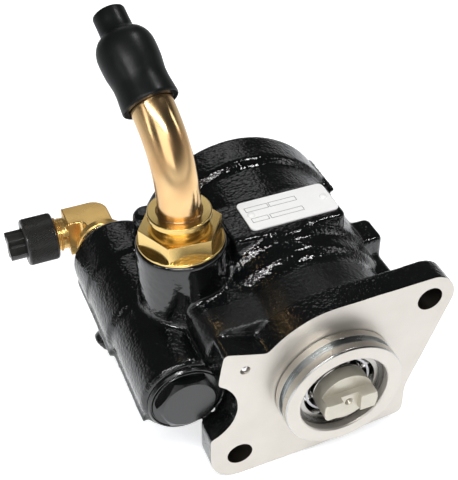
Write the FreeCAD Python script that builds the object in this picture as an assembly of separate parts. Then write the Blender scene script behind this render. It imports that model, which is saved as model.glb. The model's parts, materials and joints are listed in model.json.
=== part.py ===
import FreeCAD, Part
import math
import os

# Vane type power steering pump with a flow control valve barrel on its left.
# Millimetres. The origin is the centre of the mounting pilot in the plane of the flange
# face, the drive end points along -Y and the suction union points up, along +Z.

V = FreeCAD.Vector
BACK = V(0, 1, 0)
UP = V(0, 0, 1)
RIGHT = V(1, 0, 0)
LEFT = V(-1, 0, 0)

# Fits
run_gap = 0.04            # radial gap of a running or sliding fit
seat_gap = 0.01           # radial gap of a piece that is pressed or held in its seat

# Mounting pilot and flange
pilot_d = 63.0
pilot_len = 12.8
pilot_groove_w = 4.0
pilot_groove_deep = 2.2
pilot_groove_y = -4.4     # front of the rear land
flange_t = 14.5
bolt_x = 50.0
bolt_z = 35.0
bolt_hole_d = 13.5
lobe_r = 13.5             # round of the flange about the upper bolt
foot_lobe_r = 15.5        # round of the flange about the lower bolt
flange_in = 6.5           # the left edge lies this far inside the barrel's axis
flange_waist_x = 43.0     # right edge below the slanting side
flange_waist_z = -24.0
flange_corner_z = -44.0
cutout_r = 21.0           # bay in the flange in front of the valve barrel
ball_plug_in = 18.3       # from the left edge of the flange
ball_plug_z = 24.7
ball_plug_d = 5.0

# Casting about the shaft
body_r = 54.0
body_len = 136.0
body_start = 51.5
body_wall = 10.0          # between the pumping chamber and the outside
neck_in = 6.5             # the neck is this much smaller in radius than the body
neck_len = 37.0           # from the flange face to the step
waist_in = 2.5            # the same for the waist behind the neck
collar_out = 3.5          # the rear collar stands this far proud of the body
collar_len = 24.0
flash_angle = 30.0        # cast parting fin on the upper right of the collar
flash_proud = 1.4
flash_t = 1.6

# Valve barrel beside the shaft
barrel_out = 18.0         # the barrel's axis lies this far outside the body
barrel_z = 1.5
barrel_front = 15.5
barrel_short = 6.0        # the barrel ends this far in front of the body
barrel_r = 22.0
barrel_step_y = 65.5
barrel_rear_r = 24.0
barrel_ridge_len = 29.0
barrel_fin_angle = 205.0
valve_bore_d = 20.0
valve_end_wall = 20.0
plug_thread_d = 30.0
plug_thread_len = 13.0

# Suction boss, union nut and bent tube
suction_in = 16.7         # the boss stands this far inside the barrel's axis
suction_y = 61.0
suction_boss_r = 22.5
boss_proud = 6.0          # the top of the boss stands this far above the body
saddle_left = 6.0         # the web starts this far to the left of the boss axis
saddle_w = 46.0
saddle_back = 5.0
saddle_low = -12.0
saddle_in = 9.5           # its top lies this far below the top of the neck
saddle_round = 9.0
suction_thread_d = 33.0
union_shank_len = 14.0
union_seal_d = 1.9         # section of the seal ring under the washer
union_washer_r = 21.5
union_washer_t = 1.4
union_hex_af = 36.0
union_hex_h = 9.0
union_collar_r = 15.6
union_collar_h = 7.6
union_neck_in = 2.6       # cove between the hexagon and the collar
union_neck_h = 4.6
union_undercut = 1.2      # neck under the washer that holds the seal ring
union_undercut_h = 2.4
hex_turn = -5.0
tube_d = 21.0
tube_wall = 1.6
tube_neck_len = 1.5       # straight part between the nut and the bend
tube_bend_r = 54.0
tube_bend_angle = 54.0
tube_heading = 8.9        # the tube leans this far to the left of straight back
tube_end_len = 27.0

# Rubber cap on the suction tube
cap_start = 0.6           # along the straight end of the tube
cap_wall = 2.7            # at the waist
cap_rim_proud = 0.8       # the rim and the bulb stand this far proud of the waist
cap_bulb_proud = 1.2
cap_waist_at = 12.0       # middle of the waist, along the cap
cap_body_len = 29.0
cap_shoulder_len = 9.4
cap_neck_d = 16.4
cap_len = 50.0

# Pressure elbow on the rear of the barrel
port_out = 5.5            # the port lies this far outside the barrel's axis
port_z = 9.2
elbow_t = 15.6            # width of a leg
elbow_h = 22.6
elbow_reach = 18.5        # from the seal washer to the axis of the outlet
elbow_leg = 17.0          # from the port's axis to the start of the thread
elbow_thread_d = 20.0
elbow_thread_len = 17.5
elbow_collar_r = 14.6
elbow_collar_t = 5.0
elbow_shank_d = 18.0
elbow_shank_len = 13.0
elbow_bore_d = 10.0
seal_washer_t = 1.2

# Plastic cap on the elbow
plastic_cap_r = 13.4
plastic_cap_over = 6.7    # the cap reaches this far past the end of the thread
plastic_cap_len = 17.4
plastic_cap_wall = 2.7
plug_fin_r = 8.6
plug_fin_t = 4.6
plug_fin_len = 9.3
plug_flange_t = 1.5

# Bearing, shaft and shaft seal
bearing_od = 47.0
bearing_bore = 20.0
bearing_w = 14.0
bearing_front = -6.5
ball_count = 8
ball_d = 7.938
ball_pitch_r = 16.75
groove_gap = 0.05         # play between a ball and its grooves
cage_t = 1.2
cage_margin = 0.9         # web of the cage beside a ball
inner_ring_od = 28.7
outer_ring_id = 38.3
ring_clip_t = 1.75
seal_od = 35.0
seal_w = 7.0
seal_front = 10.0
head_r = 14.2             # coupling head in front of the bearing
head_front = -13.8
tang_front = -20.0
tang_t = 9.8
tang_slot_w = 9.5
tang_slot_deep = 3.3
centre_hole_d = 4.4
tail_d = 16.0

# Pumping set, from front to back
cover_recess = 5.5        # the cover lies this far inside the rear end of the body
spring_room = 5.0         # depth left for the disc spring
disc_spring_in = 12.0     # from the wall of the chamber
disc_spring_bore_r = 20.0
disc_spring_t = 1.6
disc_spring_lean = 0.6
front_plate_t = 11.0
cam_w = 25.0
rear_plate_t = 9.0
cam_wall = 10.5           # least thickness of the cam ring
cam_lift = 3.5
rotor_in = 1.4            # the rotor is this much smaller than the cam track
rotor_side_gap = 0.04
vane_count = 10
vane_t = 2.0
vane_slot_share = 0.42    # depth of a slot as a share of the rotor's radius
kidney_w = 4.0
kidney_deep = 4.0
kidney_spread = 20.0      # degrees on each side of its middle
kidney_in = 0.5           # its middle line lies this far inside the rotor's rim
spline_teeth = 12
spline_root_r = 8.6
spline_tip_r = 9.8
dowel_d = 5.0
dowel_in = 6.2            # from the wall of the chamber
cover_t = 18.5
cover_clip_t = 2.0
cover_clip_deep = 2.0
bush_od = 20.0
bush_len = 14.0

# Flow control valve
spool_len = 40.0
spool_nose_len = 8.0
spool_nose_d = 9.0
spool_pocket_d = 14.0
spool_pocket_deep = 8.0
relief_ball_d = 5.0
relief_bore_d = 7.0
flow_wire_d = 1.8
flow_coils = 5
plug_hex_af = 28.0
plug_hex_front = 9.5
plug_washer_r = 19.6
plug_washer_t = 2.2
plug_hex_turn = -7.0

# Nameplate
pad_left = -30.0
pad_right = 31.5
pad_front = 54.0
pad_back = 84.5
plate_x0 = -18.5
plate_x1 = 30.0
plate_y0 = 59.0
plate_y1 = 82.0
plate_t = 0.8
rivet_inset = 4.2         # from the plate's ends
rivet_head_d = 4.2

# Worked out from the sizes above
neck_r = body_r - neck_in
waist_r = body_r - waist_in
collar_r = body_r + collar_out
collar_y = body_len - collar_len
chamber_r = body_r - body_wall
pad_top = body_r
suction_face_z = body_r + boss_proud
foot_z = -(bolt_z + foot_lobe_r)
pilot_r = pilot_d / 2
barrel_x = -(body_r + barrel_out)
flange_left = -barrel_x - flange_in
ball_plug_x = -flange_left + ball_plug_in
suction_x = barrel_x + suction_in
port_x = barrel_x - port_out
elbow_block_x = port_x - elbow_leg
elbow_thread_end = elbow_block_x - elbow_thread_len
plastic_cap_front = elbow_thread_end - plastic_cap_over
plastic_cap_rear = plastic_cap_front + plastic_cap_len
plug_fin_end = plastic_cap_front - plug_fin_len
cam_minor_r = chamber_r - cam_wall - cam_lift
rotor_r = cam_minor_r - rotor_in
vane_slot_deep = rotor_r * vane_slot_share
dowel_r = chamber_r - dowel_in
disc_spring_r = chamber_r - disc_spring_in
bearing_rear = bearing_front + bearing_w
ball_y = bearing_front + bearing_w / 2
cover_back = body_len - cover_recess
rear_plate_back = cover_back - cover_t
cam_back = rear_plate_back - rear_plate_t
plate_back = cam_back - cam_w
plate_front = plate_back - front_plate_t
chamber_front = plate_front - spring_room
tail_end = rear_plate_back + bush_len
barrel_rear = body_len - barrel_short
barrel_ridge_y = barrel_rear - barrel_ridge_len
valve_bore_end = barrel_rear - valve_end_wall
spool_front = valve_bore_end - spool_nose_len - spool_len
union_top = suction_face_z + union_washer_t + union_hex_h + union_collar_h
tube_bend_z = union_top + tube_neck_len
cap_r = tube_d / 2 + cap_wall
elbow_front = barrel_rear + seal_washer_t
elbow_axis_y = elbow_front + elbow_reach
plug_flange_x = plastic_cap_front + plastic_cap_wall
disc_r = chamber_r - seat_gap
kidney_r = rotor_r - kidney_in


def cyl_y(radius, y0, y1, x=0.0, z=0.0):
    return Part.makeCylinder(radius, y1 - y0, V(x, y0, z), BACK)


def cyl_x(radius, x0, x1, y, z):
    return Part.makeCylinder(radius, x1 - x0, V(x0, y, z), RIGHT)


def cyl_z(radius, z0, z1, x, y):
    return Part.makeCylinder(radius, z1 - z0, V(x, y, z0), UP)


def ring_y(outer, inner, y0, y1, x=0.0, z=0.0):
    return cyl_y(outer, y0, y1, x, z).cut(cyl_y(inner, y0, y1, x, z))


def box(x0, x1, y0, y1, z0, z1):
    return Part.makeBox(x1 - x0, y1 - y0, z1 - z0, V(x0, y0, z0))


def turned(profile, x=0.0, z=0.0):
    # Solid of revolution about an axis parallel to Y, from (y, radius) points
    points = [V(x + radius, y, z) for y, radius in profile]
    face = Part.Face(Part.makePolygon(points + [points[0]]))
    return face.revolve(V(x, 0, z), BACK, 360)


def turned_up(profile, x, y):
    # The same about a vertical axis, from (z, radius) points
    points = [V(x + radius, y, z) for z, radius in profile]
    face = Part.Face(Part.makePolygon(points + [points[0]]))
    return face.revolve(V(x, y, 0), UP, 360)


def o_ring(radius, wire_r, y, x=0.0, z=0.0):
    return Part.makeTorus(radius, wire_r, V(x, y, z), BACK)


def hex_prism(across_flats, length, base, direction, turn):
    radius = across_flats / math.sqrt(3)
    side = V(1, 0, 0)
    other = direction.cross(side)
    points = []
    for k in range(7):
        angle = math.radians(60 * k + turn)
        points.append(base + side * (radius * math.cos(angle)) + other * (radius * math.sin(angle)))
    return Part.Face(Part.makePolygon(points)).extrude(direction * length)


def chamfered_hex(across_flats, length, base, direction, turn, sharp):
    # Hexagon whose outer corners are turned off by a cone at its free end
    prism = hex_prism(across_flats, length, base, direction, turn)
    corner = across_flats / math.sqrt(3)
    cone_h = (corner + 1.0 - across_flats / 2 * sharp) * 0.5
    core = Part.makeCylinder(corner + 1.0, length - cone_h, base, direction)
    tip = Part.makeCone(corner + 1.0, across_flats / 2 * sharp, cone_h,
                        base + direction * (length - cone_h), direction)
    return prism.common(core.fuse(tip))


def polar(radius, angle, x=0.0, z=0.0):
    a = math.radians(angle)
    return x + radius * math.cos(a), z + radius * math.sin(a)


def round_edges(solid, radius, wanted):
    return solid.makeFillet(radius, [e for e in solid.Edges if wanted(e)])


def edge_at(edge, x, z, reach=0.6):
    # True for an edge parallel to Y that stands at x and z
    a = edge.Vertexes[0].Point
    b = edge.Vertexes[-1].Point
    along_y = abs(a.x - b.x) < 0.01 and abs(a.z - b.z) < 0.01 and abs(a.y - b.y) > 1
    return along_y and math.hypot(a.x - x, a.z - z) < reach


def ring_at(edge, y):
    # True for a full circle about the shaft that stands at y
    flat = edge.BoundBox.YLength < 0.01 and abs(edge.BoundBox.YMin - y) < 0.01
    return flat and edge.Curve.TypeId == "Part::GeomCircle"


def flange_outline():
    # Front view of the flange, clockwise from its upper left corner
    def at(x, z):
        return V(x, 0, z)

    def arc(cx, cz, radius, start, end):
        middle = (start + end) / 2
        ends = [at(*polar(radius, a, cx, cz)) for a in (start, middle, end)]
        return Part.Arc(*ends).toShape()

    def line(a, b):
        return Part.LineSegment(a, b).toShape()

    slope = math.degrees(math.atan2(flange_waist_z - bolt_z, flange_waist_x - bolt_x - lobe_r)) + 90
    bay_dx = -flange_left - barrel_x
    bay_low = -math.degrees(math.acos(bay_dx / cutout_r))
    bay_high = -bay_low - 14
    corner = at(-flange_left + 8, neck_r - 9)
    neck_start = 139.0
    top_start = 90.0
    neck = arc(0, 0, neck_r, neck_start, top_start)
    upper = arc(bolt_x, bolt_z, lobe_r, 90, slope)
    lower = arc(-bolt_x, -bolt_z, foot_lobe_r, 270, 180)
    bay = arc(barrel_x, barrel_z, cutout_r, bay_low, bay_high)
    waist = at(flange_waist_x, flange_waist_z)
    foot_corner = at(flange_waist_x, flange_corner_z)
    foot_knee = at(-5, foot_z + 1.5)
    return Part.Wire([
        line(corner, neck.firstVertex().Point), neck,
        line(neck.lastVertex().Point, upper.firstVertex().Point), upper,
        line(upper.lastVertex().Point, waist),
        line(waist, foot_corner),
        line(foot_corner, foot_knee),
        line(foot_knee, lower.firstVertex().Point), lower,
        line(lower.lastVertex().Point, bay.firstVertex().Point), bay,
        line(bay.lastVertex().Point, corner)])


def flange_plate():
    plate = Part.Face(flange_outline()).extrude(V(0, flange_t, 0))
    rounds = [(-flange_left + 8, neck_r - 9, 2.0), (flange_waist_x, flange_corner_z, 4.5),
              (flange_waist_x, flange_waist_z, 12.0)]
    for x, z, radius in rounds:
        plate = round_edges(plate, radius, lambda e: edge_at(e, x, z))
    return plate


def shaft_housing():
    profile = [(0, 0), (0, neck_r), (neck_len, neck_r), (neck_len + 4.5, waist_r - 0.8),
               (body_start - 3, waist_r), (body_start, body_r), (collar_y - 1.5, body_r),
               (collar_y + 1.5, collar_r), (body_len - 2.4, collar_r),
               (body_len - 0.8, collar_r - 0.8), (body_len, collar_r - 2.4), (body_len, 0)]
    solid = turned(profile)
    rounds = [(neck_len, 5.0), (body_start - 3, 2.0), (body_start, 2.5), (collar_y - 1.5, 3.0),
              (collar_y + 1.5, 2.0)]
    for y, radius in rounds:
        solid = round_edges(solid, radius, lambda e: ring_at(e, y))
    return solid


def valve_barrel():
    ridge_r = barrel_rear_r + 0.8
    profile = [(barrel_front, 0), (barrel_front, barrel_r - 1.8), (barrel_front + 1.8, barrel_r),
               (barrel_step_y - 1.5, barrel_r), (barrel_step_y + 1.5, barrel_rear_r),
               (barrel_ridge_y, barrel_rear_r), (barrel_ridge_y + 1.5, ridge_r),
               (barrel_rear - 2, ridge_r), (barrel_rear, ridge_r - 2), (barrel_rear, 0)]
    return turned(profile, barrel_x, barrel_z)


def suction_boss():
    # Upright cylinder whose foot flares out onto the barrel
    top = suction_face_z
    foot = barrel_z + barrel_r - 1.5
    boss = turned_up([(barrel_z - 4, 0), (barrel_z - 4, suction_boss_r), (foot - 5, suction_boss_r + 4.5),
                      (foot, suction_boss_r + 4.5), (foot, suction_boss_r), (top - 0.8, suction_boss_r),
                      (top, suction_boss_r - 0.8), (top, 0)], suction_x, suction_y)

    def inner_corner(edge):
        flat = edge.BoundBox.ZLength < 0.01 and abs(edge.BoundBox.ZMin - foot) < 0.01
        return flat and edge.BoundBox.XLength < 2 * suction_boss_r + 1

    return round_edges(boss, 4.4, inner_corner)


def saddle():
    # Web that joins the barrel and the suction boss to the neck behind the flange
    left = suction_x - saddle_left
    top = neck_r - saddle_in
    block = box(left, left + saddle_w, flange_t, suction_y + saddle_back, saddle_low, top)
    return round_edges(block, saddle_round, lambda e: edge_at(e, left, top))


def nameplate_pad():
    pad = box(pad_left, pad_right, pad_front, pad_back, body_r / 2, pad_top)

    def upright(edge):
        a = edge.Vertexes[0].Point
        b = edge.Vertexes[-1].Point
        return abs(a.z - b.z) > 1

    pad = round_edges(pad, 3.0, upright)
    return round_edges(pad, 1.2, lambda e: e.BoundBox.ZMin > pad_top - 0.01)


def side_lug():
    # Bracket lug and its rib on the upper right of the casting
    lug = box(bolt_x - 16, bolt_x + 2, pad_front - 4, pad_front + 14, 22, bolt_z)
    lug = round_edges(lug, 3.0, lambda e: e.BoundBox.XMin > bolt_x + 1.9 and e.BoundBox.YLength < 0.1)
    lug = round_edges(lug, 1.5, lambda e: e.BoundBox.ZMin > bolt_z - 0.01)
    rib = box(bolt_x - 14, bolt_x + 1, flange_t / 2, pad_front, 12, bolt_z - 10)
    rib = round_edges(rib, 4.0, lambda e: edge_at(e, bolt_x + 1, bolt_z - 10))
    return lug.fuse(rib)


def cast_fins():
    # Thin parting fins that stand proud of the collar and of the barrel
    fin = box(body_r - 6, collar_r + flash_proud, collar_y - 9, body_len - 1, -flash_t / 2, flash_t / 2)
    fin.rotate(V(0, 0, 0), BACK, -flash_angle)
    fins = [fin]
    spans = [(barrel_front + 1, barrel_step_y, barrel_r + 2.4), (barrel_step_y, barrel_rear - 2, barrel_rear_r + 2.6)]
    for y0, y1, reach in spans:
        strip = box(barrel_r - 6, reach, y0, y1, -1.1, 1.1)
        strip.rotate(V(0, 0, 0), BACK, -barrel_fin_angle)
        strip.translate(V(barrel_x, 0, barrel_z))
        fins.append(strip)
    return fins


def small_bosses():
    # A domed boss over a cross drilling, and a small pad low on the barrel
    dome_x = suction_x - 1.7
    dome_y = suction_y + 50
    dome = cyl_z(8, 0, 41, dome_x, dome_y)
    dome = round_edges(dome, 3.5, lambda e: e.BoundBox.ZMin > 40.9)
    x, z = polar(1, 225)
    low = Part.makeCylinder(7, barrel_rear_r + 7, V(barrel_x, suction_y + 25, barrel_z), V(x, 0, z))
    return [dome, low]


def cast_shape():
    pieces = [flange_plate(), valve_barrel(), suction_boss(), saddle(), nameplate_pad(), side_lug()]
    pieces += cast_fins() + small_bosses()
    body = shaft_housing().fuse(pieces)
    reach = body_len + body_r
    below = box(-reach, reach, -reach, reach, foot_z - body_r, foot_z)
    return body.cut(below).removeSplitter()


def pilot():
    groove_front = pilot_groove_y - pilot_groove_w
    root_r = pilot_r - pilot_groove_deep
    return turned([(flange_t / 2, 0), (flange_t / 2, pilot_r), (pilot_groove_y, pilot_r),
                   (pilot_groove_y, root_r), (groove_front, root_r),
                   (groove_front, pilot_r), (-pilot_len + 1, pilot_r), (-pilot_len, pilot_r - 1),
                   (-pilot_len, 0)])


def housing_bores():
    clip_groove = ring_clip_t + 2 * seat_gap
    clip_front = bearing_front - clip_groove
    cover_groove = cover_back + cover_clip_t + 2 * seat_gap
    front = turned([(-pilot_len - 1, 0), (-pilot_len - 1, bearing_od / 2 + 0.6),
                    (-pilot_len, bearing_od / 2 + 0.6), (-pilot_len + 0.6, bearing_od / 2 + seat_gap),
                    (clip_front, bearing_od / 2 + seat_gap), (clip_front, bearing_od / 2 + 1.4),
                    (bearing_front, bearing_od / 2 + 1.4), (bearing_front, bearing_od / 2 + seat_gap),
                    (bearing_rear, bearing_od / 2 + seat_gap), (bearing_rear, inner_ring_od / 2 + 1),
                    (seal_front - 0.6, inner_ring_od / 2 + 1), (seal_front - 0.6, seal_od / 2 + seat_gap),
                    (seal_front + seal_w, seal_od / 2 + seat_gap), (seal_front + seal_w, 12.5),
                    (chamber_front, 12.5), (chamber_front, chamber_r), (cover_back, chamber_r),
                    (cover_back, chamber_r + cover_clip_deep), (cover_groove, chamber_r + cover_clip_deep),
                    (cover_groove, chamber_r), (body_len - 1.5, chamber_r),
                    (body_len, chamber_r + 1.5), (body_len + 1, chamber_r + 1.5), (body_len + 1, 0)])
    thread_end = barrel_front + plug_thread_len + 1
    valve = turned([(barrel_front - 1, 0), (barrel_front - 1, plug_thread_d / 2),
                    (thread_end, plug_thread_d / 2), (thread_end + 2, valve_bore_d / 2),
                    (valve_bore_end, valve_bore_d / 2), (valve_bore_end, 0)], barrel_x, barrel_z)
    suction_floor = barrel_rear_r - 4
    suction = turned_up([(suction_floor, 0), (suction_floor, 9), (suction_face_z - union_shank_len - 2, 9),
                         (suction_face_z - union_shank_len - 2, suction_thread_d / 2),
                         (suction_face_z - 2.2, suction_thread_d / 2),
                         (suction_face_z, suction_thread_d / 2 + 2.2),
                         (suction_face_z + 1, suction_thread_d / 2 + 2.2),
                         (suction_face_z + 1, 0)], suction_x, suction_y)
    gallery = cyl_x(6.5, suction_x, -chamber_r / 2, suction_y + 8, suction_floor + 7.5)
    port = cyl_y(elbow_shank_d / 2 + seat_gap, barrel_rear - elbow_shank_len - 2, barrel_rear + 1, port_x, port_z)
    feed = cyl_y(3.5, valve_bore_end - 12, barrel_rear - elbow_shank_len, port_x, port_z)
    charge = cyl_x(3.0, barrel_x, -chamber_r + 5, (chamber_front + plate_front) / 2, barrel_z)
    bay = cyl_y(cutout_r, -1, barrel_front, barrel_x, barrel_z)
    cuts = [front, valve, suction, gallery, port, feed, charge, bay]
    for sign in (1, -1):
        cuts.append(cyl_y(bolt_hole_d / 2, -1, flange_t + 1, sign * bolt_x, sign * bolt_z))
    cuts.append(cyl_y(ball_plug_d / 2, -1, 12, ball_plug_x, ball_plug_z))
    return cuts


def pump_housing():
    return cast_shape().fuse(pilot()).cut(housing_bores())


def bearing_groove(radius):
    return Part.makeTorus(ball_pitch_r, radius, V(0, ball_y, 0), BACK)


def bearing_outer_ring():
    ring = turned([(bearing_front, outer_ring_id / 2), (bearing_front, bearing_od / 2 - 0.8),
                   (bearing_front + 0.8, bearing_od / 2), (bearing_rear - 0.8, bearing_od / 2),
                   (bearing_rear, bearing_od / 2 - 0.8), (bearing_rear, outer_ring_id / 2)])
    return ring.cut(bearing_groove(ball_d / 2 + groove_gap))


def bearing_inner_ring():
    bore_r = bearing_bore / 2 + seat_gap
    ring = turned([(bearing_front, bore_r), (bearing_front, inner_ring_od / 2 - 0.3),
                   (bearing_front + 0.3, inner_ring_od / 2), (bearing_rear - 0.3, inner_ring_od / 2),
                   (bearing_rear, inner_ring_od / 2 - 0.3), (bearing_rear, bore_r)])
    return ring.cut(bearing_groove(ball_d / 2 + groove_gap))


def ball_places():
    places = []
    for k in range(ball_count):
        x, z = polar(ball_pitch_r, 360 / ball_count * k + 20)
        places.append(V(x, ball_y, z))
    return places


def bearing_balls():
    return Part.Compound([Part.makeSphere(ball_d / 2, place) for place in ball_places()])


def bearing_cage():
    half = ball_d / 2 + cage_margin
    cage = ring_y(ball_pitch_r + cage_t / 2, ball_pitch_r - cage_t / 2, ball_y - half, ball_y + half)
    return cage.cut([Part.makeSphere(ball_d / 2 + groove_gap, place) for place in ball_places()])


def c_clip(outer, inner, y0, y1, gap_angle, lug_r, hole_r):
    # Retaining ring with a gap at the top and a drilled ear on each side of it
    ring = ring_y(outer, inner, y0, y1)
    reach = outer + 5
    wedge = Part.Face(Part.makePolygon([V(0, y0, 0), V(*_xz(reach, 90 - gap_angle, y0)), V(0, y0, reach * 1.2),
                                        V(*_xz(reach, 90 + gap_angle, y0)), V(0, y0, 0)]))
    ring = ring.cut(wedge.extrude(V(0, y1 - y0, 0)))
    middle = outer - lug_r if lug_r < outer - inner + 3 else inner
    holes = []
    for side in (-1, 1):
        x, z = polar(middle, 90 + side * (gap_angle + 9))
        ring = ring.fuse(cyl_y(lug_r, y0, y1, x, z))
        holes.append(cyl_y(hole_r, y0, y1, x, z))
    return ring.cut(holes)


def _xz(radius, angle, y):
    x, z = polar(radius, angle)
    return x, y, z


def bearing_retaining_ring():
    back = bearing_front - seat_gap
    return c_clip(bearing_od / 2 + 1.3, bearing_od / 2 - 1.8, back - ring_clip_t, back, 8, 2.0, 0.9)


def shaft_circlip():
    back = bearing_rear + seat_gap
    return ring_y(bearing_bore / 2 + 2.2, bearing_bore / 2 - 0.6, back, back + 1.2).cut(
        box(-1.5, 1.5, back, back + 1.2, 5, 15))


def spline_prism(root_r, tip_r, y0, y1):
    points = []
    pitch = 360 / spline_teeth
    for k in range(spline_teeth):
        for share, radius in ((-0.32, root_r), (-0.18, tip_r), (0.18, tip_r), (0.32, root_r)):
            x, z = polar(radius, pitch * (k + share))
            points.append(V(x, y0, z))
    return Part.Face(Part.makePolygon(points + [points[0]])).extrude(V(0, y1 - y0, 0))


def drive_shaft():
    seat_r = bearing_bore / 2
    groove_y = bearing_rear + seat_gap
    tail_r = tail_d / 2
    shaft = turned([(tang_front, 0), (tang_front, head_r - 0.8), (tang_front + 0.8, head_r),
                    (bearing_front - 0.4, head_r), (bearing_front, head_r - 0.4), (bearing_front, seat_r),
                    (groove_y - seat_gap, seat_r), (groove_y - seat_gap, seat_r - 0.62),
                    (groove_y + 1.2 + seat_gap, seat_r - 0.62), (groove_y + 1.2 + seat_gap, seat_r),
                    (plate_back - 3, seat_r), (plate_back - 3, tail_r), (tail_end - 1, tail_r),
                    (tail_end, tail_r - 1), (tail_end, 0)])
    spline = spline_prism(spline_root_r, spline_tip_r, plate_back - 3, cam_back - 0.5)
    shaft = shaft.fuse(spline)
    reach = head_r + 2
    cuts = [box(-reach, reach, tang_front - 1, head_front, tang_t / 2, reach),
            box(-reach, reach, tang_front - 1, head_front, -reach, -tang_t / 2),
            box(-tang_slot_w / 2, tang_slot_w / 2, tang_front - 1, tang_front + tang_slot_deep, -reach, reach)]
    floor_y = tang_front + tang_slot_deep
    cuts.append(Part.makeCone(centre_hole_d / 2, 0, centre_hole_d * 0.9, V(0, floor_y, 0), BACK))
    cuts.append(cyl_y(centre_hole_d / 4, floor_y, floor_y + 7))
    return shaft.cut(cuts)


def shaft_seal():
    lip_r = bearing_bore / 2 + run_gap
    back = seal_front + seal_w
    return turned([(seal_front, lip_r + 2.2), (seal_front, seal_od / 2), (back, seal_od / 2),
                   (back, seal_od / 2 - 2), (seal_front + 2, seal_od / 2 - 2), (seal_front + 2, lip_r + 3),
                   (back - 1, lip_r + 1.6), (back - 1.6, lip_r), (seal_front + 1, lip_r)])


def dowel_spots():
    return [(-dowel_r, 0.0), (dowel_r, 0.0)]


def dowel_pins():
    pins = [cyl_y(dowel_d / 2, plate_back - 6, rear_plate_back + 6, x, z) for x, z in dowel_spots()]
    return Part.Compound(pins)


def dowel_holes(y0, y1):
    return [cyl_y(dowel_d / 2 + seat_gap, y0, y1, x, z) for x, z in dowel_spots()]


def kidney(radius, width, centre, spread, y0, y1):
    # Curved slot between two angles about the shaft
    ring = ring_y(radius + width / 2, radius - width / 2, y0, y1)
    reach = radius + width
    corners = [V(0, y0, 0), V(*_xz(reach * 1.3, centre - spread, y0)), V(*_xz(reach * 1.6, centre, y0)),
               V(*_xz(reach * 1.3, centre + spread, y0)), V(0, y0, 0)]
    return ring.common(Part.Face(Part.makePolygon(corners)).extrude(V(0, y1 - y0, 0)))


def front_pressure_plate():
    plate = ring_y(disc_r, bearing_bore / 2 + 1, plate_front, plate_back)
    seat_y = plate_front + front_plate_t / 2
    cuts = [ring_y(disc_r + 1, chamber_r - 2.4, seat_y - 1.6, seat_y + 1.6)]
    cuts += dowel_holes(plate_back - 6.2, plate_back)
    for angle in (45, 135, 225, 315):
        cuts.append(kidney(kidney_r, kidney_w, angle, kidney_spread, plate_back - kidney_deep, plate_back))
    for angle in (135, 315):
        cuts.append(cyl_y(kidney_w * 0.6, plate_front, plate_back, *polar(kidney_r, angle)))
    return plate.cut(cuts)


def plate_seal():
    return o_ring(chamber_r - 1.25, 1.15, plate_front + front_plate_t / 2)


def plate_spring():
    # Coned disc spring that holds the plate against the cam ring
    t = disc_spring_t
    lean = disc_spring_lean
    return turned([(chamber_front, disc_spring_r), (chamber_front + t, disc_spring_r + lean),
                   (plate_front, disc_spring_bore_r + lean), (plate_front - t, disc_spring_bore_r)])


def cam_curve(grow):
    # Oval track: the radius rises and falls twice in a turn
    points = []
    for k in range(48):
        angle = 360 / 48 * k
        radius = cam_minor_r + cam_lift * (1 - math.cos(2 * math.radians(angle + 45))) / 2 + grow
        x, z = polar(radius, angle)
        points.append(V(x, plate_back, z))
    curve = Part.BSplineCurve()
    curve.interpolate(points, PeriodicFlag=True)
    return Part.Wire(curve.toShape())


def cam_ring():
    ring = cyl_y(disc_r, plate_back, cam_back)
    track = Part.Face(cam_curve(0)).extrude(V(0, cam_w, 0))
    return ring.cut([track] + dowel_holes(plate_back, cam_back))


def rotor():
    front = plate_back + rotor_side_gap
    back = cam_back - rotor_side_gap
    body = cyl_y(rotor_r, front, back)
    slot_t = vane_t / 2 + seat_gap
    floor_r = rotor_r - vane_slot_deep
    cuts = [spline_prism(spline_root_r + 2 * seat_gap, spline_tip_r + 2 * seat_gap, front, back)]
    for k in range(vane_count):
        slot = box(floor_r, rotor_r + 1, front, back, -slot_t, slot_t)
        slot = slot.fuse(cyl_y(slot_t + 0.6, front, back, floor_r, 0))
        slot.rotate(V(0, 0, 0), BACK, 360 / vane_count * k)
        cuts.append(slot)
    return body.cut(cuts)


def vanes():
    front = plate_back + rotor_side_gap
    back = cam_back - rotor_side_gap
    tip_r = cam_minor_r - run_gap
    blades = []
    for k in range(vane_count):
        blade = box(rotor_r - vane_slot_deep + 2, tip_r, front, back, -vane_t / 2, vane_t / 2)
        blade = round_edges(blade, vane_t * 0.4, lambda e: e.BoundBox.XMin > tip_r - 0.01 and e.BoundBox.YLength > 1)
        blade.rotate(V(0, 0, 0), BACK, 360 / vane_count * k)
        blades.append(blade)
    return Part.Compound(blades)


def rear_side_plate():
    plate = ring_y(disc_r, tail_d / 2 + 1, cam_back, rear_plate_back)
    cuts = dowel_holes(cam_back, rear_plate_back)
    for angle in (45, 135, 225, 315):
        cuts.append(kidney(kidney_r, kidney_w, angle, kidney_spread, cam_back, cam_back + kidney_deep))
    return plate.cut(cuts)


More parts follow.
